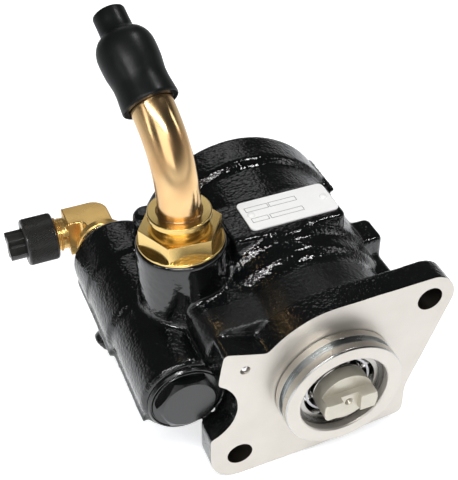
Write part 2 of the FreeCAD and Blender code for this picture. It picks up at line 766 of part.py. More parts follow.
def rear_cover():
    dish = 3.5
    seat_y = rear_plate_back + 7
    cover = turned([(rear_plate_back, bush_od / 2 + seat_gap), (rear_plate_back, disc_r),
                    (seat_y - 1.6, disc_r), (seat_y - 1.6, chamber_r - 2.4), (seat_y + 1.6, chamber_r - 2.4),
                    (seat_y + 1.6, disc_r), (cover_back, disc_r), (cover_back, chamber_r - 7),
                    (cover_back - dish, chamber_r - 10), (cover_back - dish, 18), (cover_back, 15.5),
                    (cover_back, 0), (tail_end + 1.5, 0), (tail_end + 1.5, tail_d / 2 + 1),
                    (rear_plate_back + bush_len + 0.5, tail_d / 2 + 1),
                    (rear_plate_back + bush_len + 0.5, bush_od / 2 + seat_gap)])
    ribs = []
    for k in range(6):
        rib = box(14, chamber_r - 8, cover_back - dish - 1, cover_back, -1.6, 1.6)
        rib.rotate(V(0, 0, 0), BACK, 60 * k + 30)
        ribs.append(rib)
    return cover.fuse(ribs).cut(dowel_holes(rear_plate_back, rear_plate_back + 6.2))


def cover_seal():
    return o_ring(chamber_r - 1.25, 1.15, rear_plate_back + 7)


def cover_retaining_ring():
    front = cover_back + seat_gap
    return c_clip(chamber_r + cover_clip_deep - 0.1, chamber_r - 2.6, front, front + cover_clip_t, 7, 3.0, 1.3)


def rear_shaft_bush():
    return ring_y(bush_od / 2, tail_d / 2 + run_gap, rear_plate_back + 0.3, rear_plate_back + bush_len)


def valve_plug():
    washer_back = barrel_front
    washer_front = washer_back - plug_washer_t
    hexagon = chamfered_hex(plug_hex_af, washer_front - plug_hex_front, V(barrel_x, washer_front, barrel_z),
                            V(0, -1, 0), plug_hex_turn, 0.97)
    washer = turned([(washer_front, 0), (washer_front, plug_washer_r - 0.7), (washer_front + 0.7, plug_washer_r),
                     (washer_back, plug_washer_r), (washer_back, 0)], barrel_x, barrel_z)
    thread_r = plug_thread_d / 2 - seat_gap
    shank_end = washer_back + plug_thread_len
    shank = turned([(washer_back, 0), (washer_back, thread_r - 1.9), (washer_back + 2.6, thread_r - 1.9),
                    (washer_back + 2.6, thread_r), (shank_end - 1, thread_r), (shank_end, thread_r - 1),
                    (shank_end, 0)], barrel_x, barrel_z)
    pocket = cyl_y(spool_pocket_d / 2, shank_end - 5, shank_end, barrel_x, barrel_z)
    return hexagon.fuse([washer, shank]).cut(pocket)


def valve_plug_seal():
    return o_ring(plug_thread_d / 2 - 1.0, 0.9, barrel_front + 1.3, barrel_x, barrel_z)


def spring_coil(mean_r, wire_d, start_y, end_y, turns, x, z):
    # Compression spring along Y, its wire swept on a helix between two seats
    length = end_y - start_y - wire_d
    helix = Part.makeHelix(length / turns, length, mean_r)
    profile = Part.Wire(Part.makeCircle(wire_d / 2, V(mean_r, 0, 0), V(0, 1, 0)))
    coil = Part.Wire(helix.Edges).makePipeShell([profile], True, True)
    coil.rotate(V(0, 0, 0), RIGHT, -90)
    coil.translate(V(x, start_y + wire_d / 2, z))
    return coil


def flow_spring():
    start = barrel_front + plug_thread_len - 5
    mean_r = spool_pocket_d / 2 - flow_wire_d / 2 - 0.4
    return spring_coil(mean_r, flow_wire_d, start, spool_front + spool_pocket_deep, flow_coils, barrel_x, barrel_z)


def relief_ball_place():
    return V(barrel_x, spool_front + 22, barrel_z)


def flow_spool():
    r = valve_bore_d / 2 - run_gap
    back = spool_front + spool_len
    seat = relief_ball_place().y
    spool = turned([(spool_front, spool_pocket_d / 2), (spool_front, r - 0.5), (spool_front + 0.5, r),
                    (spool_front + 15, r), (spool_front + 15, r - 1.5), (spool_front + 19, r - 1.5),
                    (spool_front + 19, r), (spool_front + 32, r), (spool_front + 32, r - 3),
                    (back - 4, r - 3), (back - 4, r), (back, r), (back, spool_nose_d / 2),
                    (valve_bore_end, spool_nose_d / 2), (valve_bore_end, 0), (seat + 8, 0),
                    (seat + 8, relief_bore_d / 2), (seat - relief_ball_d / 2 + 0.9, relief_bore_d / 2),
                    (seat - relief_ball_d / 2 + 0.9 - 1.6, 1.6), (spool_front + spool_pocket_deep, 1.6),
                    (spool_front + spool_pocket_deep, spool_pocket_d / 2)], barrel_x, barrel_z)
    return spool.cut(Part.makeSphere(relief_ball_d / 2 + 0.02, relief_ball_place()))


def relief_ball():
    return Part.makeSphere(relief_ball_d / 2, relief_ball_place())


def relief_spring():
    place = relief_ball_place()
    wire = 0.7
    return spring_coil(1.9, wire, place.y + relief_ball_d / 2 + 0.15, place.y + 8, 3, barrel_x, barrel_z)


def gallery_ball_plug():
    return Part.makeSphere(ball_plug_d / 2 - seat_gap, V(ball_plug_x, ball_plug_d / 2 + 0.4, ball_plug_z))


def nameplate():
    plate = box(plate_x0, plate_x1, plate_y0, plate_y1, pad_top, pad_top + plate_t)
    plate = round_edges(plate, 3.0, lambda e: e.BoundBox.ZLength > plate_t * 0.9)
    return plate.cut(rivet_shanks(0.05))


def rivet_shanks(gap):
    middle = (plate_y0 + plate_y1) / 2
    places = [(plate_x0 + rivet_inset, middle), (plate_x1 - rivet_inset, middle)]
    return [cyl_z(1.0 + gap, pad_top, pad_top + plate_t, x, y) for x, y in places]


def nameplate_rivets():
    middle = (plate_y0 + plate_y1) / 2
    rivets = []
    for x in (plate_x0 + rivet_inset, plate_x1 - rivet_inset):
        top = pad_top + plate_t
        head = turned_up([(top, 0), (top, rivet_head_d / 2), (top + 0.4, rivet_head_d / 2 - 0.1),
                          (top + 0.8, rivet_head_d / 2 - 0.6), (top + 1.0, 0)], x, middle)
        rivets.append(head.fuse(cyl_z(1.0, pad_top, top, x, middle)))
    return Part.Compound(rivets)


def suction_union_nut():
    face = suction_face_z
    washer_top = face + union_washer_t
    hex_top = washer_top + union_hex_h
    top = union_top
    bore_r = tube_d / 2 + seat_gap
    shank_r = suction_thread_d / 2 - seat_gap
    neck_top = hex_top + union_neck_h
    cove_r = union_collar_r - union_neck_in
    centre = V(suction_x, suction_y, washer_top)
    hexagon = chamfered_hex(union_hex_af, union_hex_h, centre, UP, hex_turn, 1.13)
    turned_part = turned_up([
        (face - union_shank_len, 0), (face - union_shank_len, shank_r - 1), (face - union_shank_len + 1, shank_r),
        (face - union_undercut_h, shank_r), (face - union_undercut_h, shank_r - union_undercut),
        (face, shank_r - union_undercut), (face, union_washer_r),
        (washer_top - 0.4, union_washer_r), (washer_top, union_washer_r - 0.4), (washer_top, cove_r),
        (neck_top - 2.2, cove_r), (neck_top - 1.2, cove_r + 0.4), (neck_top - 0.4, cove_r + 1.3),
        (neck_top, union_collar_r), (top - 0.4, union_collar_r), (top, union_collar_r - 0.4), (top, 0)],
        suction_x, suction_y)
    bore = cyl_z(bore_r, face - union_shank_len - 1, top + 1, suction_x, suction_y)
    flare = Part.makeCone(bore_r, bore_r + 0.85, 1.7, V(suction_x, suction_y, top - 1.6), UP)
    return hexagon.fuse(turned_part).cut([bore, flare])


def suction_union_seal():
    wire_r = union_seal_d / 2
    mean_r = suction_thread_d / 2 - union_undercut + wire_r + seat_gap
    return Part.makeTorus(mean_r, wire_r, V(suction_x, suction_y, suction_face_z - wire_r - seat_gap), UP)


def tube_frame():
    # End of the bend and the direction of the straight end
    heading = math.radians(tube_heading)
    flat = V(-math.sin(heading), math.cos(heading), 0)
    bend = math.radians(tube_bend_angle)
    centre = V(suction_x, suction_y, tube_bend_z) + flat * tube_bend_r
    end = centre - flat * (tube_bend_r * math.cos(bend)) + UP * (tube_bend_r * math.sin(bend))
    direction = flat * math.sin(bend) + UP * math.cos(bend)
    half = math.radians(tube_bend_angle / 2)
    middle = centre - flat * (tube_bend_r * math.cos(half)) + UP * (tube_bend_r * math.sin(half))
    return middle, end, direction


def tube_run(radius, start_z, extra):
    middle, end, direction = tube_frame()
    base = V(suction_x, suction_y, start_z)
    knee = V(suction_x, suction_y, tube_bend_z)
    path = Part.Wire([Part.LineSegment(base, knee).toShape(), Part.Arc(knee, middle, end).toShape(),
                      Part.LineSegment(end, end + direction * (tube_end_len + extra)).toShape()])
    profile = Part.Wire(Part.makeCircle(radius, base, UP))
    return path.makePipeShell([profile], True, False)


def suction_tube():
    start_z = suction_face_z - union_shank_len + 2
    outer = tube_run(tube_d / 2, start_z, 0)
    inner = tube_run(tube_d / 2 - tube_wall, start_z - 1, 1)
    braze = turned_up([(union_top - 1.2, 0), (union_top - 1.2, tube_d / 2 + 0.1), (union_top, tube_d / 2 + 0.5),
                       (union_top + 0.6, tube_d / 2 + 0.1), (union_top + 0.6, 0)], suction_x, suction_y)
    return outer.fuse(braze).cut(inner)


def suction_cap():
    # Bottle shaped rubber cap, modelled upright and then set on the end of the tube
    bore_r = tube_d / 2 + run_gap
    shoulder = cap_body_len + cap_shoulder_len
    neck_r = cap_neck_d / 2
    start = cap_start
    rim_r = cap_r + cap_rim_proud
    bulb_r = cap_r + cap_bulb_proud
    cap = turned_up([(start, bore_r + 0.8), (start, rim_r - 0.6), (start + 0.6, rim_r), (start + 2, rim_r),
                     (cap_waist_at - 3, cap_r), (cap_waist_at + 3, cap_r), (cap_body_len - 8, bulb_r - 0.3),
                     (cap_body_len - 4, bulb_r), (cap_body_len, bulb_r - 0.1),
                     (cap_body_len + cap_shoulder_len * 0.45, bulb_r - 1.3),
                     (cap_body_len + cap_shoulder_len * 0.8, bulb_r - 3.6), (shoulder, neck_r + 0.6),
                     (shoulder + 0.6, neck_r), (cap_len - 0.8, neck_r - 0.2), (cap_len, neck_r - 1.0),
                     (cap_len, 0), (tube_end_len + 1, 0), (tube_end_len + 1, bore_r), (start + 1, bore_r)], 0, 0)
    middle, end, direction = tube_frame()
    cap.Placement = FreeCAD.Placement(end, FreeCAD.Rotation(UP, direction))
    return cap


def elbow_block():
    # Square forging bent through a right angle, its outer corner rounded
    half = elbow_t / 2
    right = port_x + half
    x0 = elbow_block_x
    rear = elbow_axis_y + half
    front = elbow_axis_y - half
    start = elbow_front + elbow_collar_t
    outline = [V(port_x - half, start, 0), V(right, start, 0), V(right, rear, 0), V(x0, rear, 0),
               V(x0, front, 0), V(port_x - half, front, 0)]
    base = port_z - elbow_h / 2
    block = Part.Face(Part.makePolygon(outline + [outline[0]])).extrude(V(0, 0, elbow_h))
    block.translate(V(0, 0, base))

    def upright_at(edge, x, y):
        a = edge.Vertexes[0].Point
        b = edge.Vertexes[-1].Point
        return abs(a.z - b.z) > 1 and math.hypot(a.x - x, a.y - y) < 0.1

    block = round_edges(block, 9.0, lambda e: upright_at(e, right, rear))
    block = round_edges(block, 3.5, lambda e: upright_at(e, port_x - half, front))
    return round_edges(block, 0.9, lambda e: e.BoundBox.ZLength < 0.01)


def pressure_elbow():
    start = elbow_front
    collar = turned([(start, 0), (start, elbow_collar_r - 0.8), (start + 0.8, elbow_collar_r),
                     (start + elbow_collar_t - 0.8, elbow_collar_r), (start + elbow_collar_t, elbow_collar_r - 0.8),
                     (start + elbow_collar_t, 0)], port_x, port_z)
    shank = turned([(start - seal_washer_t - elbow_shank_len, 0),
                    (start - seal_washer_t - elbow_shank_len, elbow_shank_d / 2 - 1),
                    (start - seal_washer_t - elbow_shank_len + 1, elbow_shank_d / 2), (start, elbow_shank_d / 2),
                    (start, 0)], port_x, port_z)
    thread = cyl_x(elbow_thread_d / 2, elbow_thread_end, elbow_block_x, elbow_axis_y, port_z)
    thread = round_edges(thread, 0.9, lambda e: e.BoundBox.XMax < elbow_thread_end + 0.01)
    relief = cyl_x(elbow_thread_d / 2 - 1.2, elbow_block_x - 1.8, elbow_block_x, elbow_axis_y, port_z)
    thread = thread.cut(cyl_x(elbow_thread_d, elbow_block_x - 1.8, elbow_block_x, elbow_axis_y, port_z)).fuse(relief)
    r = elbow_bore_d / 2
    bores = [cyl_y(r, barrel_rear - elbow_shank_len - 1, elbow_axis_y, port_x, port_z),
             Part.makeSphere(r, V(port_x, elbow_axis_y, port_z)),
             cyl_x(r, elbow_thread_end - 1, port_x, elbow_axis_y, port_z)]
    return elbow_block().fuse([collar, shank, thread]).cut(bores)


def elbow_seal_washer():
    return ring_y(elbow_collar_r - 0.6, elbow_shank_d / 2 + seat_gap, barrel_rear, elbow_front, port_x, port_z)


def pressure_cap():
    front = plastic_cap_front
    rear = plastic_cap_rear
    shell = cyl_x(plastic_cap_r, front, rear, elbow_axis_y, port_z)
    shell = round_edges(shell, 0.7, lambda e: e.BoundBox.XLength < 0.01)
    bore = cyl_x(elbow_thread_d / 2 + run_gap, plug_flange_x, rear + 1, elbow_axis_y, port_z)
    mouth = cyl_x(plug_fin_r + 0.3, front - 1, plug_flange_x + 1, elbow_axis_y, port_z)
    return shell.cut([bore, mouth])


def pressure_cap_plug():
    # Cross shaped grip whose disc is trapped under the end wall of the cap
    disc = cyl_x(elbow_thread_d / 2 - 0.1, plug_flange_x, plug_flange_x + plug_flange_t, elbow_axis_y, port_z)
    fins = []
    reach = plug_fin_r
    for k in range(2):
        fin = box(plug_fin_end, plug_flange_x, -reach, reach, -plug_fin_t / 2, plug_fin_t / 2)
        fin.rotate(V(0, 0, 0), RIGHT, 90 * k + 20)
        fin.translate(V(0, elbow_axis_y, port_z))
        fins.append(fin)
    round_bar = cyl_x(reach, plug_fin_end, plug_flange_x, elbow_axis_y, port_z)
    cross = fins[0].fuse(fins[1]).common(round_bar)
    hub = cyl_x(reach * 0.45, plug_fin_end + 1.5, plug_flange_x, elbow_axis_y, port_z)
    return disc.fuse([cross, hub])


nodes = {
    "pump_housing": pump_housing,
    "gallery_ball_plug": gallery_ball_plug,
    "bearing_outer_ring": bearing_outer_ring,
    "bearing_inner_ring": bearing_inner_ring,
    "bearing_balls": bearing_balls,
    "bearing_cage": bearing_cage,
    "bearing_retaining_ring": bearing_retaining_ring,
    "drive_shaft": drive_shaft,
    "shaft_circlip": shaft_circlip,
    "shaft_seal": shaft_seal,
    "plate_spring": plate_spring,
    "front_pressure_plate": front_pressure_plate,
    "plate_seal": plate_seal,
    "cam_ring": cam_ring,
    "rotor": rotor,
    "vanes": vanes,
    "dowel_pins": dowel_pins,
    "rear_side_plate": rear_side_plate,
    "rear_cover": rear_cover,
    "cover_seal": cover_seal,
    "cover_retaining_ring": cover_retaining_ring,
    "rear_shaft_bush": rear_shaft_bush,
    "valve_plug": valve_plug,
    "valve_plug_seal": valve_plug_seal,
    "flow_spring": flow_spring,
    "flow_spool": flow_spool,
    "relief_ball": relief_ball,
    "relief_spring": relief_spring,
    "nameplate": nameplate,
    "nameplate_rivets": nameplate_rivets,
    "suction_union_nut": suction_union_nut,
    "suction_union_seal": suction_union_seal,
    "suction_tube": suction_tube,
    "suction_cap": suction_cap,
    "pressure_elbow": pressure_elbow,
    "elbow_seal_washer": elbow_seal_washer,
    "pressure_cap": pressure_cap,
    "pressure_cap_plug": pressure_cap_plug,
}

os.makedirs("parts", exist_ok=True)
for name, make in nodes.items():
    shape = make()
    shape.exportStep("parts/" + name + ".step")
    print(name, len(shape.Solids), "valid" if shape.isValid() else "INVALID", round(shape.Volume, 1))
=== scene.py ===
import bmesh
import bpy
import json
import math
from mathutils import Matrix, Quaternion, Vector, noise


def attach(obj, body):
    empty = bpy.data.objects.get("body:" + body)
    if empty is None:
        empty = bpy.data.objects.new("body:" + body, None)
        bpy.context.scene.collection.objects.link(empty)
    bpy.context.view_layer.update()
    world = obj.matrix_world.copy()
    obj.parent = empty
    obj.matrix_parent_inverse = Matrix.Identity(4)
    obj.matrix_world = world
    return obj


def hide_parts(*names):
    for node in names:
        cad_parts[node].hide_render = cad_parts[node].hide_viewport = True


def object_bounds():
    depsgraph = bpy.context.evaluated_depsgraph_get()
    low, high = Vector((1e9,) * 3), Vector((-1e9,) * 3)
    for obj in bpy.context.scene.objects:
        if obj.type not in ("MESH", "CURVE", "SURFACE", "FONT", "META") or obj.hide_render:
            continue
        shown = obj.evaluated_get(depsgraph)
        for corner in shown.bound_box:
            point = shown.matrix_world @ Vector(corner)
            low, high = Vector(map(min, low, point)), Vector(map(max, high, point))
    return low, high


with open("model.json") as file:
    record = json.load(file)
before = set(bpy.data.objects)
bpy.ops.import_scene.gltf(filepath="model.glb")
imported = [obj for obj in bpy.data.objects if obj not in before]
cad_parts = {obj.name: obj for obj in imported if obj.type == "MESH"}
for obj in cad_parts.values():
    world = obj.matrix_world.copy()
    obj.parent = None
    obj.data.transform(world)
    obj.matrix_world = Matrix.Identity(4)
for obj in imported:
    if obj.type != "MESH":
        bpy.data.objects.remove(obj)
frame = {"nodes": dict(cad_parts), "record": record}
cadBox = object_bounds()
nodes = frame["nodes"]
mm = 0.001
weld = 0.002 * mm         # corners nearer than this are one
print("frame loaded:", len(nodes), "nodes")


def bodyOf(nodeName):
    for body, members in frame["record"]["behaviour"]["bodies"].items():
        if nodeName in members:
            return body


def addObject(name, data):
    piece = bpy.data.objects.new(name, data)
    bpy.context.scene.collection.objects.link(piece)
    return piece


def meshFrom(work, name):
    # The bmesh made an object of its own
    mesh = bpy.data.meshes.new(name)
    work.to_mesh(mesh)
    work.free()
    return addObject(name, mesh)


def finished(piece, name):
    # Modifiers made plain, as a new mesh on the same object
    graph = bpy.context.evaluated_depsgraph_get()
    graph.update()
    mesh = bpy.data.meshes.new_from_object(piece.evaluated_get(graph), preserve_all_data_layers=True,
                                           depsgraph=graph)
    piece.modifiers.clear()
    old = piece.data
    piece.data = mesh
    mesh.name = name
    if old.users == 0:
        bpy.data.meshes.remove(old)
    return piece


def smoothByAngle(piece, degrees):
    mesh = piece.data
    mesh.polygons.foreach_set("use_smooth", [True] * len(mesh.polygons))
    mesh.set_sharp_from_angle(angle=math.radians(degrees))
    mesh.update()


def crispShade(piece, degrees):
    # Smooth shading in which large faces stay flat and only fine edges carry the bend
    smoothByAngle(piece, degrees)
    shade = piece.modifiers.new("shade", "WEIGHTED_NORMAL")
    shade.weight = 100
    shade.keep_sharp = True
    finished(piece, piece.data.name)


def mergedCopy(nodeName, name):
    # A welded copy of a CAD node that modifiers can work on
    work = bmesh.new()
    work.from_mesh(nodes[nodeName].data)
    bmesh.ops.remove_doubles(work, verts=work.verts, dist=weld)
    bmesh.ops.dissolve_degenerate(work, edges=work.edges, dist=weld / 2)
    return meshFrom(work, name)


def dress(piece, nodeName, material):
    # The piece takes the node's place and body, and the given material
    piece.data.materials.clear()
    piece.data.materials.append(material)
    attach(piece, bodyOf(nodeName))
    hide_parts(nodeName)
    return piece


def joinFlats(piece):
    # Triangles that lie in one plane become one face
    work = bmesh.new()
    work.from_mesh(piece.data)
    bmesh.ops.dissolve_limit(work, angle_limit=math.radians(0.4), verts=work.verts, edges=work.edges)
    work.to_mesh(piece.data)
    work.free()


def bevelEdges(piece, width, degrees):
    rim = piece.modifiers.new("rim", "BEVEL")
    rim.width = width * mm
    rim.segments = 2
    rim.limit_method = "ANGLE"
    rim.angle_limit = math.radians(degrees)
    rim.use_clamp_overlap = True
    finished(piece, piece.name)


def crispCopy(nodeName, name, material, bevel=0.0, degrees=35):
    # Welded copy with a fine bevel on its sharp edges and smooth round faces
    piece = mergedCopy(nodeName, name)
    joinFlats(piece)
    if bevel:
        bevelEdges(piece, bevel, 28)
    crispShade(piece, degrees)
    return dress(piece, nodeName, material)


def lathe(name, profile, centre, axis, steps):
    # Closed ring of (along, radius) points in millimetres turned about an axis
    axis = Vector(axis).normalized()
    turn = axis.to_track_quat("Z", "Y").to_matrix().to_4x4()
    place = Matrix.Translation(Vector(centre) * mm) @ turn
    work = bmesh.new()
    rings = []
    for along, radius in profile:
        if radius < 0.001:
            rings.append([work.verts.new(place @ Vector((0, 0, along * mm)))])
            continue
        ring = []
        for k in range(steps):
            a = 2 * math.pi * k / steps
            corner = Vector((radius * mm * math.cos(a), radius * mm * math.sin(a), along * mm))
            ring.append(work.verts.new(place @ corner))
        rings.append(ring)
    for n, ring in enumerate(rings):
        after = rings[(n + 1) % len(rings)]
        if len(ring) == 1 and len(after) == 1:
            continue
        for k in range(steps):
            j = (k + 1) % steps
            corners = [ring[k % len(ring)], ring[j % len(ring)],
                       after[j % len(after)], after[k % len(after)]]
            unique = []
            for corner in corners:
                if corner not in unique:
                    unique.append(corner)
            if len(unique) > 2:
                work.faces.new(unique)
    bmesh.ops.recalc_face_normals(work, faces=work.faces)
    return meshFrom(work, name)


def rounded(points, radius, steps=5):
    # The same outline with each corner cut back to a small arc of the given radius
    out = []
    count = len(points)
    for n in range(count):
        before, here, after = (Vector(points[(n + k) % count]) for k in (-1, 0, 1))
        left, right = (before - here), (after - here)
        reach = min(radius, left.length * 0.45, right.length * 0.45)
        if reach < 0.01 or here.y < 0.001:
            out.append(tuple(here))
            continue
        a, b = here + left.normalized() * reach, here + right.normalized() * reach
        for k in range(steps + 1):
            t = k / steps
            out.append(tuple(a * (1 - t) ** 2 + here * 2 * t * (1 - t) + b * t ** 2))
    return out


class Nodes:
    # Short way to place and join shader nodes
    def __init__(self, tree):
        self.tree = tree
        self.column = 0

    def add(self, kind, **values):
        node = self.tree.nodes.new(kind)
        node.location = (self.column * 180, 0)
        self.column += 1
        for key, value in values.items():
            setattr(node, key, value)
        return node

    def join(self, output, socket):
        self.tree.links.new(output, socket)

    def feed(self, sockets, values):
        # Each socket gets a number, a colour or another node's output
        for socket, value in zip(sockets, values):
            if isinstance(value, (int, float)):
                socket.default_value = value
            elif isinstance(value, tuple):
                socket.default_value = (*value, 1.0)
            else:
                self.join(value, socket)

    def number(self, operation, a, b=0.0):
        node = self.add("ShaderNodeMath", operation=operation)
        self.feed(node.inputs, (a, b))
        return node.outputs[0]

    def blend(self, factor, a, b):
        node = self.add("ShaderNodeMix", data_type="FLOAT")
        self.feed((node.inputs[0], node.inputs[2], node.inputs[3]), (factor, a, b))
        return node.outputs[0]

    def mixColour(self, factor, a, b):
        node = self.add("ShaderNodeMix", data_type="RGBA")
        self.feed((node.inputs[0], node.inputs[6], node.inputs[7]), (factor, a, b))
        return node.outputs[2]

    def spread(self, value, low, high, toLow=0.0, toHigh=1.0):
        node = self.add("ShaderNodeMapRange")
        self.join(value, node.inputs[0])
        for socket, number in zip(list(node.inputs)[1:5], (low, high, toLow, toHigh)):
            socket.default_value = number
        return node.outputs[0]


def newGroup(name, inputs, outputs):
    tree = bpy.data.node_groups.new(name, "ShaderNodeTree")
    for label, value in inputs.items():
        kind = "NodeSocketVector" if value is None else "NodeSocketFloat"
        socket = tree.interface.new_socket(name=label, in_out="INPUT", socket_type=kind)
        if value is not None:
            socket.default_value = value
    for label in outputs:
        tree.interface.new_socket(name=label, in_out="OUTPUT", socket_type="NodeSocketFloat")
    made = Nodes(tree)
    source = made.add("NodeGroupInput")
    sink = made.add("NodeGroupOutput")
    return tree, made, source, sink


def lumpySkin():
    # A coarse and a fine grain added up, and wide patches
    tree, made, source, sink = newGroup(
        "grain", {"Place": None, "Coarse": 300.0, "Fine": 1400.0, "Share": 0.5}, ["Height", "Patches"])
    coarse, fine, wide = (made.add("ShaderNodeTexNoise") for k in range(3))
    for noiseNode in (coarse, fine, wide):
        made.join(source.outputs["Place"], noiseNode.inputs["Vector"])
    made.join(source.outputs["Coarse"], coarse.inputs["Scale"])
    made.join(source.outputs["Fine"], fine.inputs["Scale"])
    made.join(made.number("MULTIPLY", source.outputs["Coarse"], 0.12), wide.inputs["Scale"])
    coarse.inputs["Detail"].default_value = 1.0
    fine.inputs["Detail"].default_value = 0.0
    fineShare = made.number("MULTIPLY", fine.outputs[0], source.outputs["Share"])
    made.join(made.number("ADD", coarse.outputs[0], fineShare), sink.inputs["Height"])
    made.join(wide.outputs[0], sink.inputs["Patches"])
    return tree


def toolMarks():
    # Rings about the Y axis as a lathe leaves them, and slow streaks
    tree, made, source, sink = newGroup(
        "toolMarks", {"Place": None, "Rings": 2500.0, "Uneven": 60.0}, ["Height", "Streaks"])
    parts = made.add("ShaderNodeSeparateXYZ")
    made.join(source.outputs["Place"], parts.inputs[0])
    xx = made.number("MULTIPLY", parts.outputs[0], parts.outputs[0])
    zz = made.number("MULTIPLY", parts.outputs[2], parts.outputs[2])
    span = made.number("ADD", made.number("SQRT", made.number("ADD", xx, zz)), parts.outputs[1])
    wobble = made.add("ShaderNodeTexNoise", noise_dimensions="1D")
    made.join(made.number("MULTIPLY", span, source.outputs["Rings"]), wobble.inputs["W"])
    wobble.inputs["Scale"].default_value = 1.0
    wobble.inputs["Detail"].default_value = 2.0
    cloud = made.add("ShaderNodeTexNoise")
    made.join(source.outputs["Place"], cloud.inputs["Vector"])
    made.join(source.outputs["Uneven"], cloud.inputs["Scale"])
    made.join(wobble.outputs[0], sink.inputs["Height"])
    made.join(cloud.outputs[0], sink.inputs["Streaks"])
    return tree


grainGroup = lumpySkin()
turnedGroup = toolMarks()


def placeGroup(made, group, **values):
    node = made.add("ShaderNodeGroup")
    node.node_tree = group
    where = made.add("ShaderNodeTexCoord")
    made.join(where.outputs["Object"], node.inputs["Place"])
    for label, value in values.items():
        node.inputs[label].default_value = value
    return node


def newMaterial(name, base, rough, metal=0.0, specular=0.5):
    material = bpy.data.materials.new(name)
    material.use_nodes = True
    tree = material.node_tree
    shader = next(n for n in tree.nodes if n.type == "BSDF_PRINCIPLED")
    shader.inputs["Base Color"].default_value = (*base, 1.0)
    shader.inputs["Roughness"].default_value = rough
    shader.inputs["Metallic"].default_value = metal
    shader.inputs["Specular IOR Level"].default_value = specular
    return material, Nodes(tree), shader


def addBump(made, shader, height, strength, distance):
    bump = made.add("ShaderNodeBump")
    bump.inputs["Strength"].default_value = strength
    bump.inputs["Distance"].default_value = distance
    made.join(height, bump.inputs["Height"])
    made.join(bump.outputs[0], shader.inputs["Normal"])


def grainMaterial(name, values):
    # Paint, rubber or plastic over a lumpy skin
    material, made, shader = newMaterial(name, values["base"], values["rough"], 0.0, values["specular"])
    grain = placeGroup(made, grainGroup, Coarse=values["coarse"], Fine=values["fine"], Share=values["share"])
    colour = made.mixColour(grain.outputs["Patches"], values["base"], values["other"])
    made.join(colour, shader.inputs["Base Color"])
    low, high = values["rough"] - values["roughSpread"], values["rough"] + values["roughSpread"]
    made.join(made.spread(grain.outputs["Patches"], 0.35, 0.65, low, high), shader.inputs["Roughness"])
    addBump(made, shader, grain.outputs["Height"], values["bump"], values["depth"])
    return material


def metalMaterial(name, values):
    # Machined or plated metal with tool marks and slow changes of tint
    material, made, shader = newMaterial(name, values["base"], values["rough"], values.get("metal", 1.0))
    marks = placeGroup(made, turnedGroup, Rings=values["rings"], Uneven=values["uneven"])
    tint = made.spread(marks.outputs["Streaks"], 0.3, 0.7)
    made.join(made.mixColour(tint, values["base"], values["other"]), shader.inputs["Base Color"])
    low, high = values["rough"] - values["roughSpread"], values["rough"] + values["roughSpread"]
    made.join(made.spread(marks.outputs["Streaks"], 0.35, 0.65, low, high), shader.inputs["Roughness"])
    addBump(made, shader, marks.outputs["Height"], values["bump"], values["depth"])
    return material


paintFinish = {"base": (0.0022, 0.0025, 0.0027), "other": (0.0045, 0.0049, 0.0051), "rough": 0.1,
               "roughSpread": 0.03, "specular": 0.7, "coarse": 600.0, "fine": 1700.0, "share": 0.14,
               "bump": 0.5, "depth": 0.00062}
faceFinish = {"base": (0.58, 0.545, 0.495), "other": (0.65, 0.615, 0.565), "rough": 0.4, "roughSpread": 0.05,
              "rings": 1800.0, "uneven": 45.0, "bump": 0.12, "depth": 0.00008, "metal": 0.8}
goldFinish = {"base": (0.8, 0.6, 0.25), "other": (0.68, 0.46, 0.16), "rough": 0.2, "roughSpread": 0.06,
              "rings": 900.0, "uneven": 38.0, "bump": 0.06, "depth": 0.00006}
tubeFinish = {**goldFinish, "base": (0.87, 0.61, 0.31), "other": (0.68, 0.38, 0.17), "rough": 0.22}
elbowFinish = {**goldFinish, "base": (0.82, 0.55, 0.2), "other": (0.72, 0.46, 0.15), "rough": 0.28,
               "metal": 0.85}
rubberFinish = {"base": (0.005, 0.0056, 0.0056), "other": (0.007, 0.0075, 0.0075), "rough": 0.34,
                "roughSpread": 0.05, "specular": 0.2, "coarse": 900.0, "fine": 4000.0, "share": 0.3,
                "bump": 0.12, "depth": 0.0002}
plasticFinish = {"base": (0.016, 0.0155, 0.014), "other": (0.022, 0.0215, 0.0195), "rough": 0.3,
                 "roughSpread": 0.04, "specular": 0.5, "coarse": 1200.0, "fine": 4000.0, "share": 0.3,
                 "bump": 0.15, "depth": 0.00015}
bearingFinish = {"base": (0.44, 0.425, 0.4), "other": (0.34, 0.33, 0.31), "rough": 0.2, "roughSpread": 0.05,
                 "rings": 2600.0, "uneven": 80.0, "bump": 0.1, "depth": 0.00005}
ballFinish = {"base": (0.8, 0.8, 0.8), "other": (0.7, 0.7, 0.7), "rough": 0.07, "roughSpread": 0.02,
              "rings": 100.0, "uneven": 30.0, "bump": 0.0, "depth": 0.00001}
shaftFinish = {"base": (0.53, 0.5, 0.42), "other": (0.6, 0.565, 0.48), "rough": 0.4, "roughSpread": 0.06,
               "rings": 2200.0, "uneven": 90.0, "bump": 0.15, "depth": 0.00008, "metal": 0.65}
darkFinish = {"base": (0.1, 0.097, 0.092), "other": (0.15, 0.145, 0.138), "rough": 0.3, "roughSpread": 0.06,
              "rings": 2600.0, "uneven": 90.0, "bump": 0.1, "depth": 0.00005}
groundFinish = {"base": (0.5, 0.5, 0.51), "other": (0.42, 0.42, 0.43), "rough": 0.3, "roughSpread": 0.05,
                "rings": 2600.0, "uneven": 60.0, "bump": 0.1, "depth": 0.00005}
bossZone = {"x": -55.3, "y": 61.0, "radius": 22.9, "low": 27.0, "smoother": 0.16}
dryZone = {"front": 15.0, "rear": 31.0, "low": 26.0, "rougher": 0.23}


